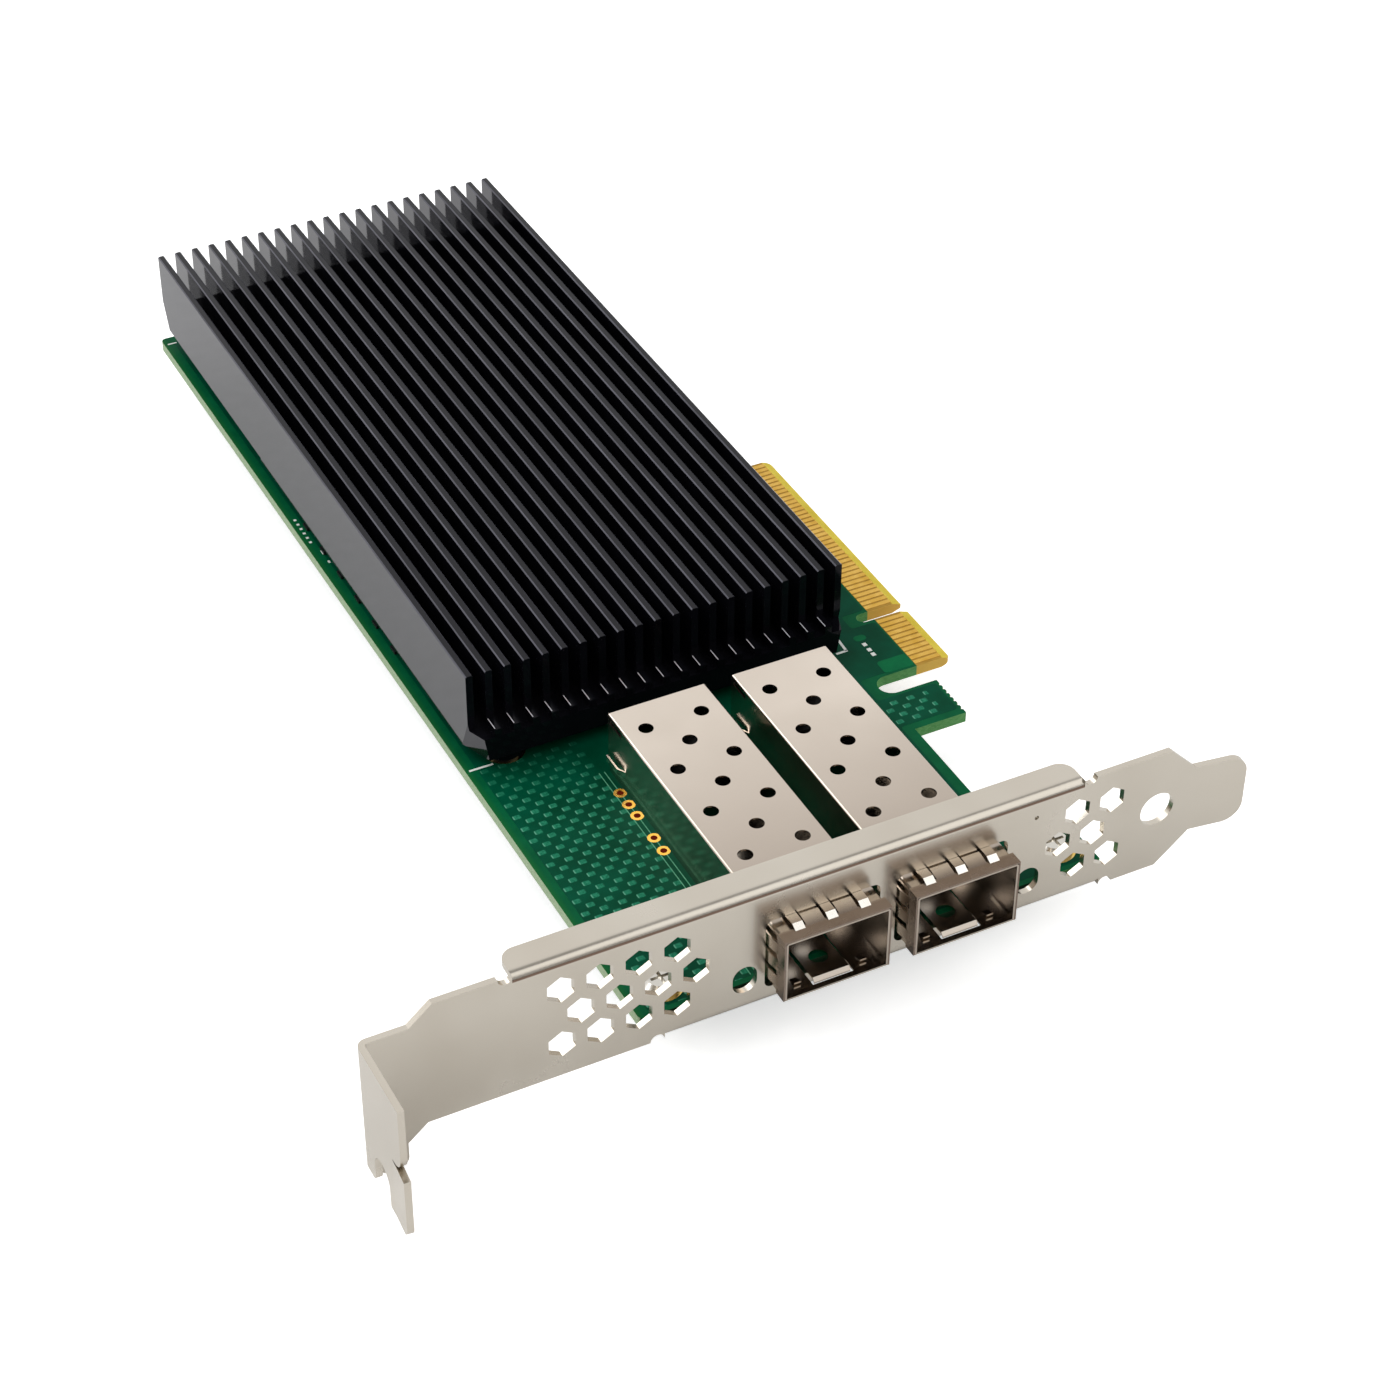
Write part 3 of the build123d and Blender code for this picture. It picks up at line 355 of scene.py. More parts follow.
def board_sides(tree, way, x, bare_tab):
    """Cut sides: green, pale on the far rim, amber at the contacts and dark in the shade."""
    weave = add(tree, "TexNoise", millimetres(tree, (1, 1, 6)), 1 / 0.4, 3.0, LAYERING)
    green = add(tree, "ValToRGB", weave, stops=[(0.3, "#4C8A4E"), (0.7, "#74AC6E")])
    pale = add(tree, "ValToRGB", weave, stops=[(0.3, "#8FA684"), (0.7, "#B2C4A4")])
    amber = add(tree, "ValToRGB", weave, stops=[(0.3, "#D6A94E"), (0.7, "#F0C86A")])
    far_rim = add(tree, "MapRange", way.outputs["X"], -0.4, -0.6)
    side = add(tree, "Mix", far_rim, green, pale, data_type="RGBA")
    side = add(tree, "Mix", bare_tab, side, amber, data_type="RGBA")
    past_shade = add(tree, "MapRange", x, EAR_ROOT, EAR_ROOT + 0.5)
    # Painted shade: the front side left of EAR_ROOT is dark.
    front = add(tree, "Mix", past_shade, "#1C3322", green, data_type="RGBA")
    front = add(tree, "Mix", bare_tab, front, "#E0B65A", data_type="RGBA")
    to_bracket = add(tree, "MapRange", way.outputs["Y"], -0.5, -0.7)
    return add(tree, "Mix", to_bracket, side, front, data_type="RGBA")


print("board's far rim at", round(BOARD_LOW.x, 2), "mm")

# %% [markdown]
# Faces and sides meet in one material. In soft light the mask shows hardly any reflection, so its
# specular level is low and the green stays deep, and a broad soft cloud in it keeps it from looking
# like paint. The cut sides are rougher than the faces.

# %% Board laminate and mask
MASK_GLOSS = 0.04


def board_laminate():
    """Green mask on the faces and raw laminate on the sides and at the contact edge."""
    material, tree = new_material("green_solder_mask_on_glass_epoxy")
    point = millimetres(tree)
    place = add(tree, "SeparateXYZ", point)
    way = facing(tree)
    x = place.outputs["X"]
    past_mask = add(tree, "MapRange", x, MASK_END - 0.05, MASK_END + 0.05)
    past_hook = add(tree, "MapRange", place.outputs["Y"], TAB_START - 0.6, TAB_START - 0.5)
    bare_tab = add(tree, "Math", past_mask, past_hook, operation="MULTIPLY")
    cloud = add(tree, "TexNoise", point, 1 / 3.0, 3.0, LAYERING)
    level = add(tree, "Math", way.outputs["Z"], operation="ABSOLUTE")
    flat = add(tree, "MapRange", level, 0.45, 0.55)
    colour = add(tree, "Mix", flat, board_sides(tree, way, x, bare_tab),
                 board_faces(tree, cloud, x, bare_tab), data_type="RGBA")
    roughness = add(tree, "MapRange", flat, 0, 1, 0.55, 0.3)
    finish_shader(tree, colour, roughness, cloud, 0.01, Specular_IOR_Level=MASK_GLOSS)
    return material


# Mask on woven glass: a deep, calm green, with pale sides and an amber contact edge.
BOARD = board_laminate()
print("board:", BOARD.name)

# %% [markdown]
# Between the wide planes the copper is broken into small pads, laid out in a staggered grid, so that
# the board etches and plates evenly. Under the mask each pad stands up a little and looks lighter,
# and a light strip along its left side is a painted highlight. The pads could be real geometry, but
# they stand up by only a few hundredths of a millimetre, so a pattern in the material gives the same
# look: a square lattice, with a second one in its gaps. Towards the heatsink the pads fade bit by
# bit, as painted shade.

# %% Lattice of pads
PAD_PITCH = 2.54
PAD_LENGTH = 1.08
PAD_WIDTH = 0.84
PAD_ROUND = 0.24
# The rounded edge is soft between these two distances from its centre.
EDGE_FROM = 0.14
EDGE_TO = 0.29
# The painted highlight fades out between these two distances from the pad's left end.
GLINT_FROM = 0.06
GLINT_TO = 0.20
PAD_ORIGIN = (-66.67, -22.02)


def lattice(tree, place, shift):
    """Two masks for one lattice, shifted by some millimetres: its pads and a painted highlight on
    their left sides.
    """
    cells = []
    squares = []
    for axis, start, size in (("X", PAD_ORIGIN[0], PAD_LENGTH), ("Y", PAD_ORIGIN[1], PAD_WIDTH)):
        moved = add(tree, "Math", place.outputs[axis], start + shift, operation="SUBTRACT")
        cell = add(tree, "Math", moved, PAD_PITCH / 2, -PAD_PITCH / 2, operation="WRAP")
        away = add(tree, "Math", cell, operation="ABSOLUTE")
        past = add(tree, "Math", away, size / 2 - PAD_ROUND, operation="SUBTRACT")
        past = add(tree, "Math", past, 0.0, operation="MAXIMUM")
        squares.append(add(tree, "Math", past, 2.0, operation="POWER"))
        cells.append(cell)
    distance = add(tree, "Math", add(tree, "Math", *squares, operation="ADD"), operation="SQRT")
    pad = add(tree, "MapRange", distance, EDGE_FROM, EDGE_TO, 1.0, 0.0)
    left_end = -PAD_LENGTH / 2
    side_glint = add(tree, "MapRange", cells[0], left_end + GLINT_TO, left_end + GLINT_FROM)
    return pad, add(tree, "Math", pad, side_glint, operation="MULTIPLY")


print("pads every", PAD_PITCH, "mm")

# %% [markdown]
# Over a copper plane the mask is darker than on bare laminate. The plane and the pad field share
# one recipe, which draws the pads only where they are wanted, so that both greens match.

# %% Copper under the mask
# Between these two places the pads fade from faint to clear, as painted shade of the heatsink.
PAD_SHADE_FROM = -7.5
PAD_SHADE_TO = -17.0


def masked_copper(name, dotted):
    """Deep green mask over copper, with or without the staggered pads."""
    material, tree = new_material(name)
    point = millimetres(tree)
    cloud = add(tree, "TexNoise", point, 1 / 5.0, 3.0, LAYERING)
    colour = add(tree, "ValToRGB", cloud, stops=[(0.3, "#003F29"), (0.7, "#004D36")])
    height = add(tree, "Math", cloud, 0.1, operation="MULTIPLY")
    if dotted:
        place = add(tree, "SeparateXYZ", point)
        grids = [lattice(tree, place, shift) for shift in (0.0, PAD_PITCH / 2)]
        # Painted shade: the pads fade towards the heatsink.
        clear = add(tree, "MapRange", place.outputs["Y"], PAD_SHADE_FROM, PAD_SHADE_TO, 0.3, 1.0)
        pads, side_glints = (add(tree, "Math", first, second, operation="MAXIMUM")
                        for first, second in zip(*grids))
        pads = add(tree, "Math", pads, clear, operation="MULTIPLY")
        side_glints = add(tree, "Math", side_glints, clear, operation="MULTIPLY")
        speck = add(tree, "TexNoise", point, 1 / 0.25, 3.0, LAYERING)
        fill = add(tree, "ValToRGB", speck, stops=[(0.35, "#14664A"), (0.65, "#2C8263")])
        colour = add(tree, "Mix", pads, colour, fill, data_type="RGBA")
        # Painted highlight on the left side of each pad.
        colour = add(tree, "Mix", side_glints, colour, "#6DB296", data_type="RGBA")
        height = add(tree, "Math", height, pads, operation="ADD")
    finish_shader(tree, colour, 0.3, height, 0.03, Specular_IOR_Level=MASK_GLOSS)
    return material


# Mask over a whole plane: a darker, bluer green than the board's.
MASKED_COPPER = masked_copper("solder_mask_over_copper_plane", False)
# The same green, with rows of lighter specks that read as small raised pads, a painted highlight on
# each one's left side and painted shade towards the heatsink.
MASKED_PADS = masked_copper("solder_mask_over_copper_pads", True)
print("copper finishes:", MASKED_COPPER.name, MASKED_PADS.name)

# %% [markdown]
# ## Plastics, ceramics and rubber
# The parts on the board are moulded compound, fired ceramic or pressed powder. They differ in
# colour, grain size and gloss, so one function takes these as its values. Real grains are often
# finer than the render can show, so they are drawn a tenth of a millimetre wide or more.

# %% Moulded and fired parts
def moulded(name, dark, light, rough, grain_mm, depth_mm=0.01, gloss=0.5):
    """A body of one grained material: colour, gloss and relief follow the same grain."""
    material, tree = new_material(name)
    grain = add(tree, "TexNoise", millimetres(tree), 1 / grain_mm, 3.0, LAYERING)
    colour = add(tree, "ValToRGB", grain, stops=[(0.3, dark), (0.7, light)])
    roughness = add(tree, "MapRange", grain, 0.3, 0.7, rough - 0.05, rough + 0.05)
    finish_shader(tree, colour, roughness, grain, depth_mm, Specular_IOR_Level=gloss)
    return material


# Moulding compound: matt black with a faint grey grain from its filler.
MOULDING = moulded("black_epoxy_moulding_compound", "#161618", "#202023", 0.5, 0.12)
# Injected polymer: a smoother black with a slight sheen.
CONNECTOR = moulded("black_liquid_crystal_polymer", "#121214", "#1B1B1E", 0.42, 0.3)
# Fired ceramic: matt tan with a fine speckle.
CERAMIC = moulded("fired_capacitor_ceramic", "#8A6A48", "#A58560", 0.5, 0.1)
# Glaze: black and glossier than the moulded parts beside it.
RESISTOR = moulded("resistor_glaze", "#17171A", "#26262A", 0.3, 0.2)
# Pressed powder: dark grey, rough and dull.
POWDER = moulded("pressed_iron_powder", "#3A3A3D", "#4B4B4F", 0.6, 0.1)
# Silicone: soft blue-grey without shine.
SILICONE = moulded("thermal_silicone_pad", "#7E8894", "#929CA8", 0.7, 0.3)
# Mask on a package: green like the board's, a little paler.
SUBSTRATE = moulded("package_substrate_mask", "#1B4A30", "#24583A", 0.4, 0.5)
# Clear resin: nearly white and smooth, so that it catches the light.
RESIN = moulded("clear_light_resin", "#D8D8CC", "#E8E8DE", 0.15, 0.5, 0.002)
print("black parts:", MOULDING.name, CONNECTOR.name, RESISTOR.name)

# %% [markdown]
# Five more finishes belong to the fine details, and the same function serves them. The first three
# lie beside the mask and share its low gloss, or else they would shine out as grey.

# %% Finishes of the fine details
# Mask straight on the laminate: lighter than over copper.
PATCH = moulded("solder_mask_over_bare_laminate", "#04603A", "#0A6C40", 0.4, 1.5, gloss=MASK_GLOSS)
# Mask over a narrow trace: the copper below turns it pale green.
TRACE = moulded("solder_mask_over_copper_trace", "#4F9A78", "#6FB592", 0.32, 0.6, gloss=MASK_GLOSS)
# A drilled hole as painted shade: a dark red-brown disc that reads as depth.
HOLE_SHADE = moulded("drilled_hole_shadow", "#561205", "#6E1E08", 0.7, 0.2, gloss=MASK_GLOSS)
# Marking ink: matt white, thick enough to stand up a little.
WHITE_INK = moulded("white_epoxy_marking_ink", "#DDE2DC", "#F2F4EF", 0.55, 0.15, 0.004)
# Painted highlight: a light grey that shows as a bright line beside the black dye.
FOOT_HIGHLIGHT = moulded("painted_highlight_on_fin_feet", "#C4C6CC", "#E6E8EC", 0.4, 0.3)
print("details:", [m.name for m in (PATCH, TRACE, HOLE_SHADE, WHITE_INK, FOOT_HIGHLIGHT)])

# %% [markdown]
# ## Dress the engineering model
# Each node already has the right shape, so it only swaps its material. A table from node to finish
# would hide what belongs together, so the finishes are listed with the nodes that wear them.

# %% Give every node its finish
FINISHES = [
    (BRACKET_NICKEL, ["bracket", "bracket_bushes"]),
    (ZINC_SCREW, ["bracket_screws", "heatsink_screws", "controller_lid", "clock_crystal"]),
    (ANODISED, ["heatsink"]),
    (HARD_GOLD, ["edge_contacts_top", "edge_contacts_bottom",
                 "left_port_contacts", "right_port_contacts"]),
    (PAD_GOLD, ["screw_pads"]),
    (BOARD, ["circuit_board"]),
    (CAGE_NICKEL, ["left_cage_cover", "right_cage_cover"]),
    (FLOOR_NICKEL, ["left_cage_floor", "right_cage_floor"]),
    (SPRING_NICKEL, ["left_spring_collar", "right_spring_collar"]),
    (CONNECTOR, ["left_port_connector", "right_port_connector"]),
    (SUBSTRATE, ["controller_package"]),
    (SILICONE, ["thermal_pad"]),
    (POWDER, ["power_inductors"]),
    (MOULDING, ["voltage_regulators", "flash_memory"]),
    (CERAMIC, ["ceramic_capacitors"]),
    (RESISTOR, ["chip_resistors"]),
    (RESIN, ["status_lights"]),
]
dressed = set()
for material, names in FINISHES:
    for name in names:
        mesh = nodes[name].data
        mesh.materials.clear()
        mesh.materials.append(material)
        dressed.add(name)
print("dressed:", len(dressed), "left plain:", sorted(set(nodes) - dressed))

# %% [markdown]
# ## Thin pieces on the board
# What lies on the board is copper, ink or plating, a few hundredths of a millimetre thick. Each of
# these pieces starts as a flat face and is pushed up to its thickness. They are separate pieces and
# not marks in the board's material, because their edges have to stay sharp in a close view.

# %% Outline helpers
BOARD_TOP = BOARD_HIGH.z
BOARD_BOTTOM = BOARD_LOW.z


def finish_mesh(name, working, material):
    """Turns a bmesh into a piece that rides on the card, with its finish."""
    mesh = bpy.data.meshes.new(name)
    bmesh.ops.recalc_face_normals(working, faces=working.faces)
    bmesh.ops.scale(working, vec=(MM, MM, MM), verts=working.verts)
    working.to_mesh(mesh)
    working.free()
    mesh.materials.append(material)
    piece = bpy.data.objects.new(name, mesh)
    bpy.context.scene.collection.objects.link(piece)
    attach(piece, "root")
    return piece


def thicken(working, faces, rise):
    """Pushes flat faces up, or down, to give them a thickness."""
    grown = bmesh.ops.extrude_face_region(working, geom=faces)
    top = [item for item in grown["geom"] if isinstance(item, bmesh.types.BMVert)]
    bmesh.ops.translate(working, vec=(0, 0, rise), verts=top)


def strip(working, start, end, width, z, rise):
    """A thin straight line of print or copper between two points."""
    a, b = Vector(start), Vector(end)
    side = (b - a).normalized().orthogonal() * width / 2
    corners = [working.verts.new((*point, z)) for point in (a + side, a - side, b - side, b + side)]
    thicken(working, [working.faces.new(corners)], rise)


print("board top at", round(BOARD_TOP, 3), "mm")

# %% [markdown]
# The plane keeps back from the board's edges, so that no copper is cut when the board is routed out.
# Its outline follows the board's, one margin inside: the ear behind the bracket, the break-off
# hook, the tab with its key notch and the straight side behind it. Real copper is a few hundredths
# of a millimetre thick and the mask fills in beside it, so the sheet stands only two hundredths of a
# millimetre above the board, where the mask bulges over the copper.

# %% Outlines of the copper
COPPER_RISE = 0.02
MARGIN = 1.5
FAR = BOARD_LOW.x + MARGIN
NEAR_BRACKET = BOARD_LOW.y + 0.8
BACK = BOARD_HIGH.y - MARGIN
# X of the plane's right side: in the ear, at the root of the hook, in the tab and behind it.
EAR = -4.45 - MARGIN
ROOT = -12.3 - MARGIN
HOOK_TIP = -5.0
TAB = MASK_END - 0.3
BEHIND_TAB = -9.75
# Y at which the plane's right side steps from one to the next.
EAR_END = -47.4
HOOK_FRONT = -23.0
HOOK_BACK = -16.9
TAB_FRONT = -12.0
LONG_END = 39.6 - MARGIN
# The plane leaves the key notch clear by this half width, up to this X.
KEY_HALF = 1.5
KEY_ROOT = -9.2
# The field of pads takes the corner between the rim, the bracket and the left cage.
FIELD_RIGHT = -53.3
FIELD_BACK = -6.4


def rectangle(low_x, low_y, high_x, high_y):
    """The four corners of an upright rectangle."""
    return [(low_x, low_y), (high_x, low_y), (high_x, high_y), (low_x, high_y)]


RIGHT_SIDE = [(EAR, NEAR_BRACKET), (EAR, EAR_END), (ROOT, EAR_END), (ROOT, HOOK_FRONT),
              (HOOK_TIP, HOOK_FRONT), (HOOK_TIP, HOOK_BACK), (ROOT, HOOK_BACK), (ROOT, TAB_FRONT),
              (TAB, TAB_FRONT), (TAB, -KEY_HALF), (KEY_ROOT, -KEY_HALF), (KEY_ROOT, KEY_HALF),
              (TAB, KEY_HALF), (TAB, LONG_END), (BEHIND_TAB, LONG_END), (BEHIND_TAB, BACK)]
MAIN = [(FIELD_RIGHT, NEAR_BRACKET), *RIGHT_SIDE, (FAR, BACK), (FAR, FIELD_BACK),
        (FIELD_RIGHT, FIELD_BACK)]
SOLDER_SIDE = [(FAR, NEAR_BRACKET), *RIGHT_SIDE, (FAR, BACK)]
FIELD = rectangle(FAR, NEAR_BRACKET, FIELD_RIGHT, FIELD_BACK)
# The pads on the hook keep a little inside its copper.
HOOK = rectangle(ROOT, -22.8, -6.9, -17.6)
# One patch beside the contacts at the front of the tab, and a small one at the heatsink's corner.
PATCHES = [rectangle(-9.9, -12.2, -5.34, -9.5), rectangle(-10.1, -4.4, -8.3, -3.2)]
print("copper margin:", MARGIN, "mm, corners in the main outline:", len(MAIN))

# %% [markdown]
# A routed outline has sharp corners, but etched copper never does, so each corner is rounded before
# the face gets its thickness. The pads on the hook and the copper-free patches lie on top of the
# plane. They could be cut out of it, but a second thin layer looks the same and keeps the plane
# one simple shape.

# %% Copper planes on both faces
CORNER = 0.55
PAD_LAYER = 0.005
PATCH_LAYER = 0.01


def copper(name, outlines, z, rise, material):
    """Flat copper regions with rounded corners, one thin sheet in a piece."""
    working = bmesh.new()
    for outline in outlines:
        corners = [working.verts.new((x, y, z)) for x, y in outline]
        working.faces.new(corners)
        bmesh.ops.bevel(working, geom=corners, affect="VERTICES", offset=CORNER, segments=4,
                        profile=0.5, material=-1)
    thicken(working, working.faces[:], rise)
    return finish_mesh(name, working, material)


COPPER_TOP = BOARD_TOP + COPPER_RISE
copper("copper_plane_top", [MAIN], BOARD_TOP, COPPER_RISE, MASKED_COPPER)
copper("copper_pad_field", [FIELD], BOARD_TOP, COPPER_RISE, MASKED_PADS)
copper("copper_pads_on_hook", [HOOK], COPPER_TOP, PAD_LAYER, MASKED_PADS)
copper("copper_free_patches", PATCHES, COPPER_TOP, PATCH_LAYER, PATCH)
copper("copper_plane_bottom", [SOLDER_SIDE], BOARD_BOTTOM, -COPPER_RISE, MASKED_COPPER)
print("copper on the top face ends at", round(COPPER_TOP, 3), "mm")

# %% [markdown]
# ## Plated holes, traces and print
# Beside the left cage run two thin guard traces, with a row of plated holes on one of them. Each hole
# is a flat gold ring round a dark disc of painted shade for the drilled middle, which lies just below
# it. They are so thin that their reflections and shadows would only smudge the cage wall beside them,
# so both are left out.

# %% Plated holes and guard traces
VIA_X = -52.83
VIA_ROWS = (-18.55, -21.07, -23.52, -28.32, -31.05)
VIA_OUTER = 0.88
VIA_INNER = 0.46
# Height above the copper: the dark disc of painted hole shade lies just below its ring.
RING_LIFT = 0.02
HOLE_SHADE_LIFT = 0.016
TRACE_X = (-53.55, -52.80)
TRACE_START = BOARD_LOW.y + 1.0
TRACE_END = -13.8
TRACE_WIDTH = 0.12
TRACE_RISE = 0.012

rings = bmesh.new()
hole_shade_discs = bmesh.new()
for y in VIA_ROWS:
    spot = Matrix.Translation((VIA_X, y, COPPER_TOP + RING_LIFT))
    made = bmesh.ops.create_circle(rings, cap_ends=True, segments=24, radius=VIA_OUTER, matrix=spot)
    face = made["verts"][0].link_faces[0]
    bmesh.ops.inset_region(rings, faces=[face], thickness=VIA_OUTER - VIA_INNER,
                           use_even_offset=True, use_boundary=True)
    bmesh.ops.delete(rings, geom=[face], context="FACES")
    # A dark disc of painted shade in each hole.
    sunk = Matrix.Translation((VIA_X, y, COPPER_TOP + HOLE_SHADE_LIFT))
    bmesh.ops.create_circle(hole_shade_discs, cap_ends=True, segments=24, radius=VIA_INNER, matrix=sunk)
for piece in (finish_mesh("plated_hole_rings", rings, HARD_GOLD),
              finish_mesh("plated_hole_shade_discs", hole_shade_discs, HOLE_SHADE)):
    for rays in ("visible_glossy", "visible_diffuse", "visible_shadow"):
        setattr(piece, rays, False)

traces = bmesh.new()
for x in TRACE_X:
    strip(traces, (x, TRACE_END), (x, TRACE_START), TRACE_WIDTH, COPPER_TOP, TRACE_RISE)
finish_mesh("guard_traces", traces, TRACE)
print("plated holes:", len(VIA_ROWS), "guard traces:", len(TRACE_X))

# %% [markdown]
# White ink is screen-printed on the mask. It marks two corners of the heatsink and a few places
# along the far rim and beside the contacts. Each mark is a short straight dash, and all of them are
# one piece, because they are printed in one pass.

# %% White print
INK = 0.015
# Start, end and width of the two corner marks: a single line, and an angle of two.
CORNER_MARKS = [((-68.4, -5.88), (-65.0, -5.88), 0.35),
                ((-12.05, -2.9), (-12.23, -5.46), 0.38),
                ((-12.05, -5.46), (-13.8, -5.50), 0.38)]
# Middle, length and width of the dashes that run along the board.
TAB_DASHES = [((-9.3, y), 0.7, 0.6) for y in (-5.35, -6.65, -7.75)]
RIM_DASHES = [((-68.02, 50.5 + 1.2 * place), 0.44, 0.4) for place in range(6)]
RIM_DASHES += [((-67.4, 47.5), 1.0, 0.3), ((-67.4, 45.0), 0.6, 0.3)]
FAR_MARK = ((-68.4, 108.9), (-67.0, 108.9), 0.3)

print_lines = bmesh.new()
for start, end, width in CORNER_MARKS:
    strip(print_lines, start, end, width, COPPER_TOP, INK)
for (x, y), length, width in TAB_DASHES + RIM_DASHES:
    strip(print_lines, (x, y - length / 2), (x, y + length / 2), width, COPPER_TOP, INK)
strip(print_lines, *FAR_MARK, COPPER_TOP, INK)
finish_mesh("heatsink_corner_print", print_lines, WHITE_INK)
print("ink marks:", len(CORNER_MARKS) + len(TAB_DASHES) + len(RIM_DASHES) + 1)

# %% [markdown]
# The fins are sawn back at the bracket end and leave a low foot each. Along the left edge of each
# foot runs a painted highlight, a bright line. It is a thin strip on each foot, in a finish of its
# own.

# %% Painted highlights on the fin feet
FIN_COUNT = 21
FIN_THICKNESS = 1.0
FOOT_LENGTH = 2.6
FOOT_RISE = 6.8
SINK_LOW, SINK_HIGH = (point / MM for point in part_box("heatsink"))
# The painted highlight line: its place in from the fin's side, its width, height and two ends.
LINE_INSET = 0.12
LINE_WIDTH = 0.11
LINE_RISE = 0.01
LINE_START = SINK_LOW.y + 0.25
LINE_END = SINK_LOW.y + FOOT_LENGTH - 0.1

feet = bmesh.new()
fin_pitch = (SINK_HIGH.x - SINK_LOW.x - FIN_THICKNESS) / (FIN_COUNT - 1)
for place in range(1, FIN_COUNT - 1):
    x = SINK_LOW.x + place * fin_pitch + LINE_INSET
    strip(feet, (x, LINE_START), (x, LINE_END), LINE_WIDTH, BOARD_TOP + FOOT_RISE, LINE_RISE)
# Painted highlight strips on the fin feet.
finish_mesh("fin_foot_painted_highlights", feet, FOOT_HIGHLIGHT)
print("bare edges:", FIN_COUNT - 2, "at a pitch of", round(fin_pitch, 3), "mm")

# %% [markdown]
# ## Studio
# The card lies on a pale table in a white room. The background has to be white without more light on
# the card, so the world turns white only for what the camera and mirror-like rays see. A
# photographer's room is white behind the object and dimmer overhead and behind the camera, and
# folded metal shows that as a darker line along each bend, so what the metal mirrors is dimmed on
# that side.

# %% World
# Strength of the light on the card, and of what its metal mirrors on the dim side.
AMBIENT = 0.55
DIM_FRONT = 0.35
# How far a direction points away from the bracket: dim up to the first value, white past the second.
DIM_TO = 0.1
WHITE_FROM = 0.55

scene = bpy.context.scene
scene.view_settings.view_transform = "Standard"
world = bpy.data.worlds.new("studio")
scene.world = world
world.use_nodes = True
room = world.node_tree
room.nodes.clear()
light = add(room, "LightPath").outputs
seen = add(room, "Math", light["Is Camera Ray"], light["Is Glossy Ray"], operation="MAXIMUM")
seen = add(room, "Math", seen, light["Is Transmission Ray"], operation="MAXIMUM")
heading = add(room, "SeparateXYZ", add(room, "TexCoord").outputs["Generated"])
backdrop = add(room, "MapRange", heading.outputs["Y"], DIM_TO, WHITE_FROM, DIM_FRONT, 1.0)
mirrored = add(room, "Math", backdrop, light["Is Camera Ray"], operation="MAXIMUM")
strength = add(room, "MapRange", seen, 0, 1, AMBIENT, mirrored)
add(room, "OutputWorld", add(room, "Background", "#FFFFFF", strength))
print("light from all round:", AMBIENT)

# %% [markdown]
# The table is a sheet of white paper. It keeps the card's soft shadow, and a little glow that only
# the camera sees lifts the rest of it to white. It lies a tenth of a millimetre below the card, so
# that no two faces share one plane.

# %% Floor
FLOOR_GAP = 0.0001
FLOOR_Z = cad_low.z - FLOOR_GAP
FLOOR_HALF = 3.0
TABLE_GLOW = 0.55

ground = bmesh.new()
bmesh.ops.create_grid(ground, x_segments=1, y_segments=1, size=FLOOR_HALF,
                      matrix=Matrix.Translation((0, 0, FLOOR_Z)))
floor_mesh = bpy.data.meshes.new("floor")
ground.to_mesh(floor_mesh)
ground.free()
floor = bpy.data.objects.new("floor", floor_mesh)
scene.collection.objects.link(floor)

# White paper: matt, with a cloudiness so faint that it only takes away the look of plastic.
paper, tree = new_material("white_paper_sweep")
fibre = add(tree, "TexNoise", millimetres(tree), 1 / 2.0, 3.0, LAYERING)
white = add(tree, "ValToRGB", fibre, stops=[(0.3, "#F4F4F4"), (0.7, "#FAFAFA")])
glow = add(tree, "MapRange", add(tree, "LightPath").outputs["Is Camera Ray"], 0, 1, 0, TABLE_GLOW)
shader = add(tree, "BsdfPrincipled", Base_Color=white, Roughness=0.9, Emission_Color="#FFFFFF",
             Emission_Strength=glow)
add(tree, "OutputMaterial", shader)
floor_mesh.materials.append(paper)
print("floor at", round(FLOOR_Z / MM, 2), "mm")

# %% [markdown]
# Two broad lamps give the light its soft direction. The key lamp stands behind the card on the left
# and makes the fin sides and the folded lip shine, and a weaker fill in front on the right keeps
# the bracket's face from going dark.

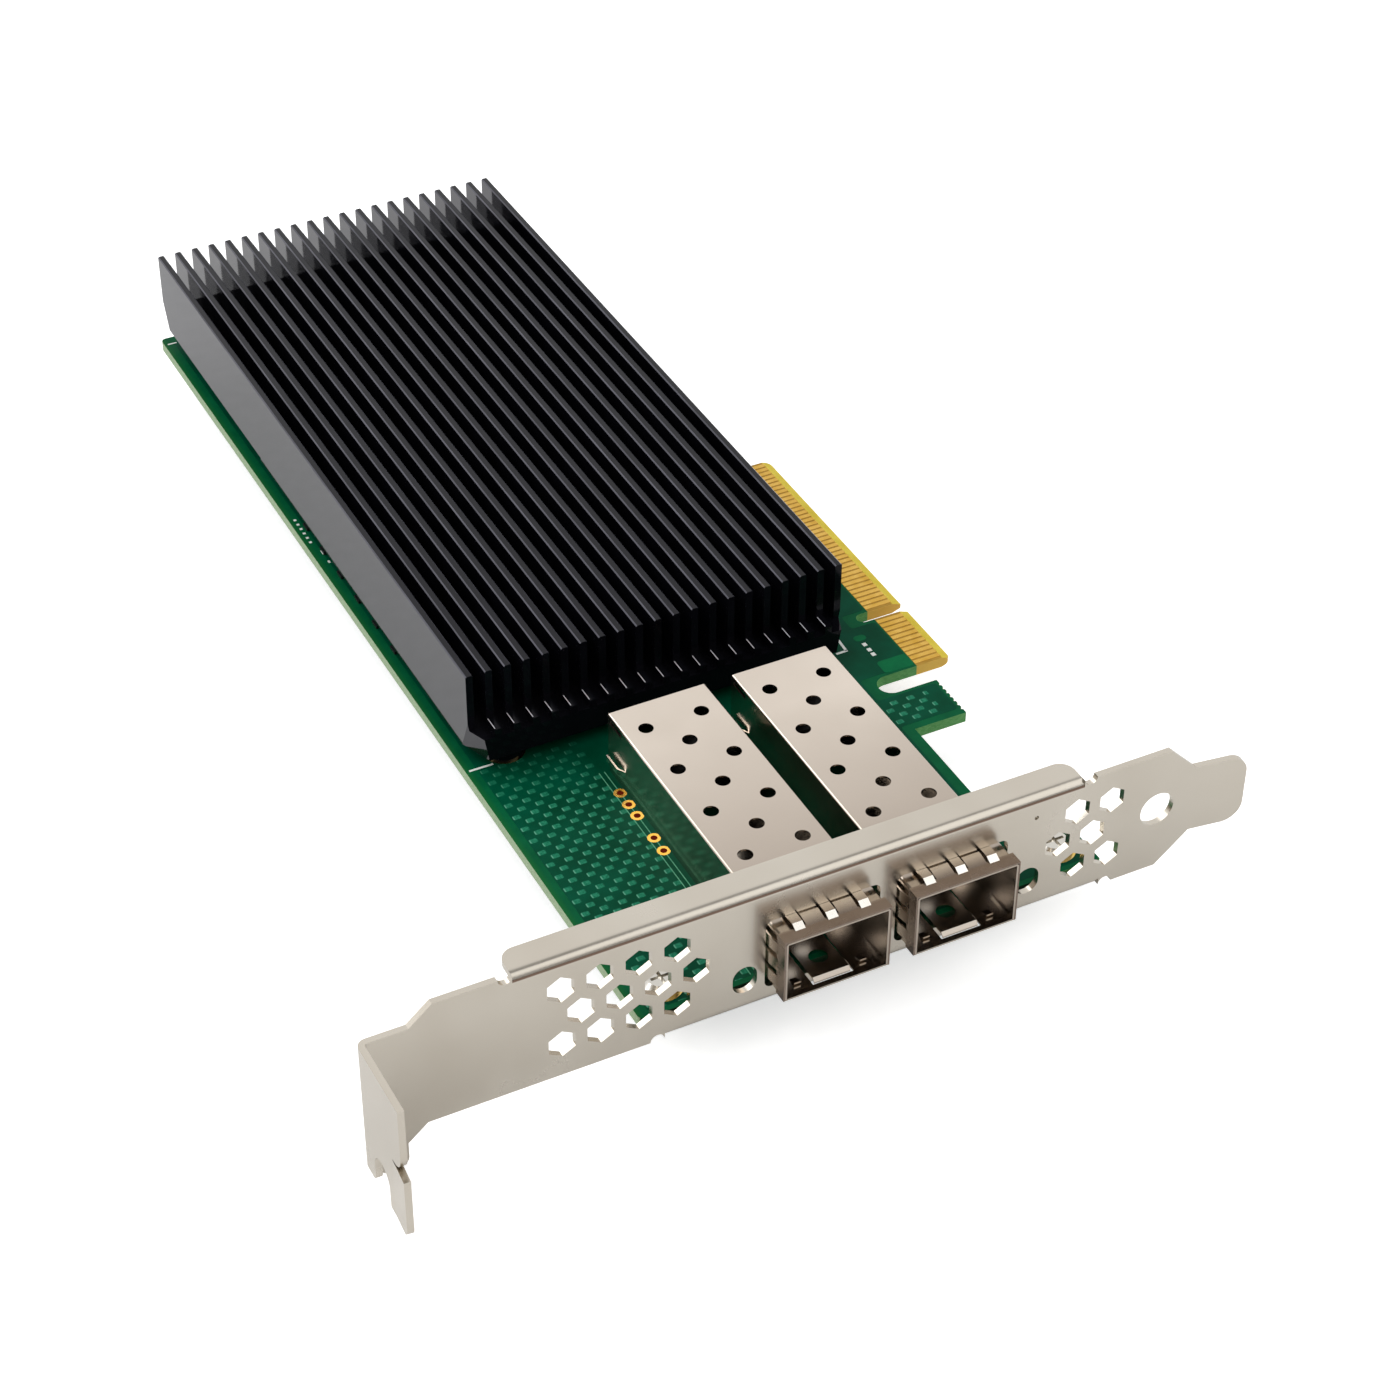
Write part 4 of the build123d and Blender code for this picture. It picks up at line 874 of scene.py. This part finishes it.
# %% Lamps
# The middle of the card and the width of a soft box, in metres.
CENTRE = (-0.045, 0.02, 0.0)
LAMP_SIZE = 1.5


def lamp(name, place, watts):
    """A square soft box at a place in metres, facing the card."""
    data = bpy.data.lights.new(name, "AREA")
    data.shape = "SQUARE"
    data.size = LAMP_SIZE
    data.energy = watts
    body = bpy.data.objects.new(name, data)
    body.location = place
    body.rotation_euler = (Vector(CENTRE) - Vector(place)).to_track_quat("-Z", "Y").to_euler()
    scene.collection.objects.link(body)


lamp("key_soft_box", place=(-0.9, 0.6, 1.3), watts=16.0)
lamp("fill_soft_box", place=(0.8, -0.8, 1.1), watts=7.0)
print("lamps:", len(bpy.data.lights))

# %% [markdown]
# ## Camera
# The camera was fitted to the photograph from the card's standard sizes. It stands to the left of
# the bracket, looks down at the card and has a long lens, as product photographs do, so that
# parallel edges stay nearly parallel.

# %% Camera
AZIMUTH = math.radians(-27.47)
ELEVATION = math.radians(38.68)
ROLL = math.radians(0.56)
# The camera looks at this point from this distance. Its sensor is 36 mm wide.
TARGET = Vector((-36.49, -9.13, 3.555)) * MM
DISTANCE = 420.67 * MM
SENSOR = 36.0
# Focal length and width of the photograph, both in its pixels.
FOCAL_PIXELS = 3188.1
FRAME_PIXELS = 1400

back = Vector((math.sin(AZIMUTH) * math.cos(ELEVATION),
               -math.cos(AZIMUTH) * math.cos(ELEVATION), math.sin(ELEVATION)))
right = Vector((math.cos(AZIMUTH), math.sin(AZIMUTH), 0))
upward = back.cross(right)
turned_right = right * math.cos(ROLL) + upward * math.sin(ROLL)
turned_up = upward * math.cos(ROLL) - right * math.sin(ROLL)
camera_data = bpy.data.cameras.new("camera")
camera_data.sensor_width = SENSOR
camera_data.lens = SENSOR * (FOCAL_PIXELS / FRAME_PIXELS)
camera_data.clip_start = 0.01
camera_data.clip_end = 20.0
camera = bpy.data.objects.new("camera", camera_data)
camera.matrix_world = Matrix((turned_right, turned_up, back)).transposed().to_4x4()
camera.location = TARGET + back * DISTANCE
scene.collection.objects.link(camera)
scene.camera = camera
print("lens", round(camera_data.lens, 2), "mm")
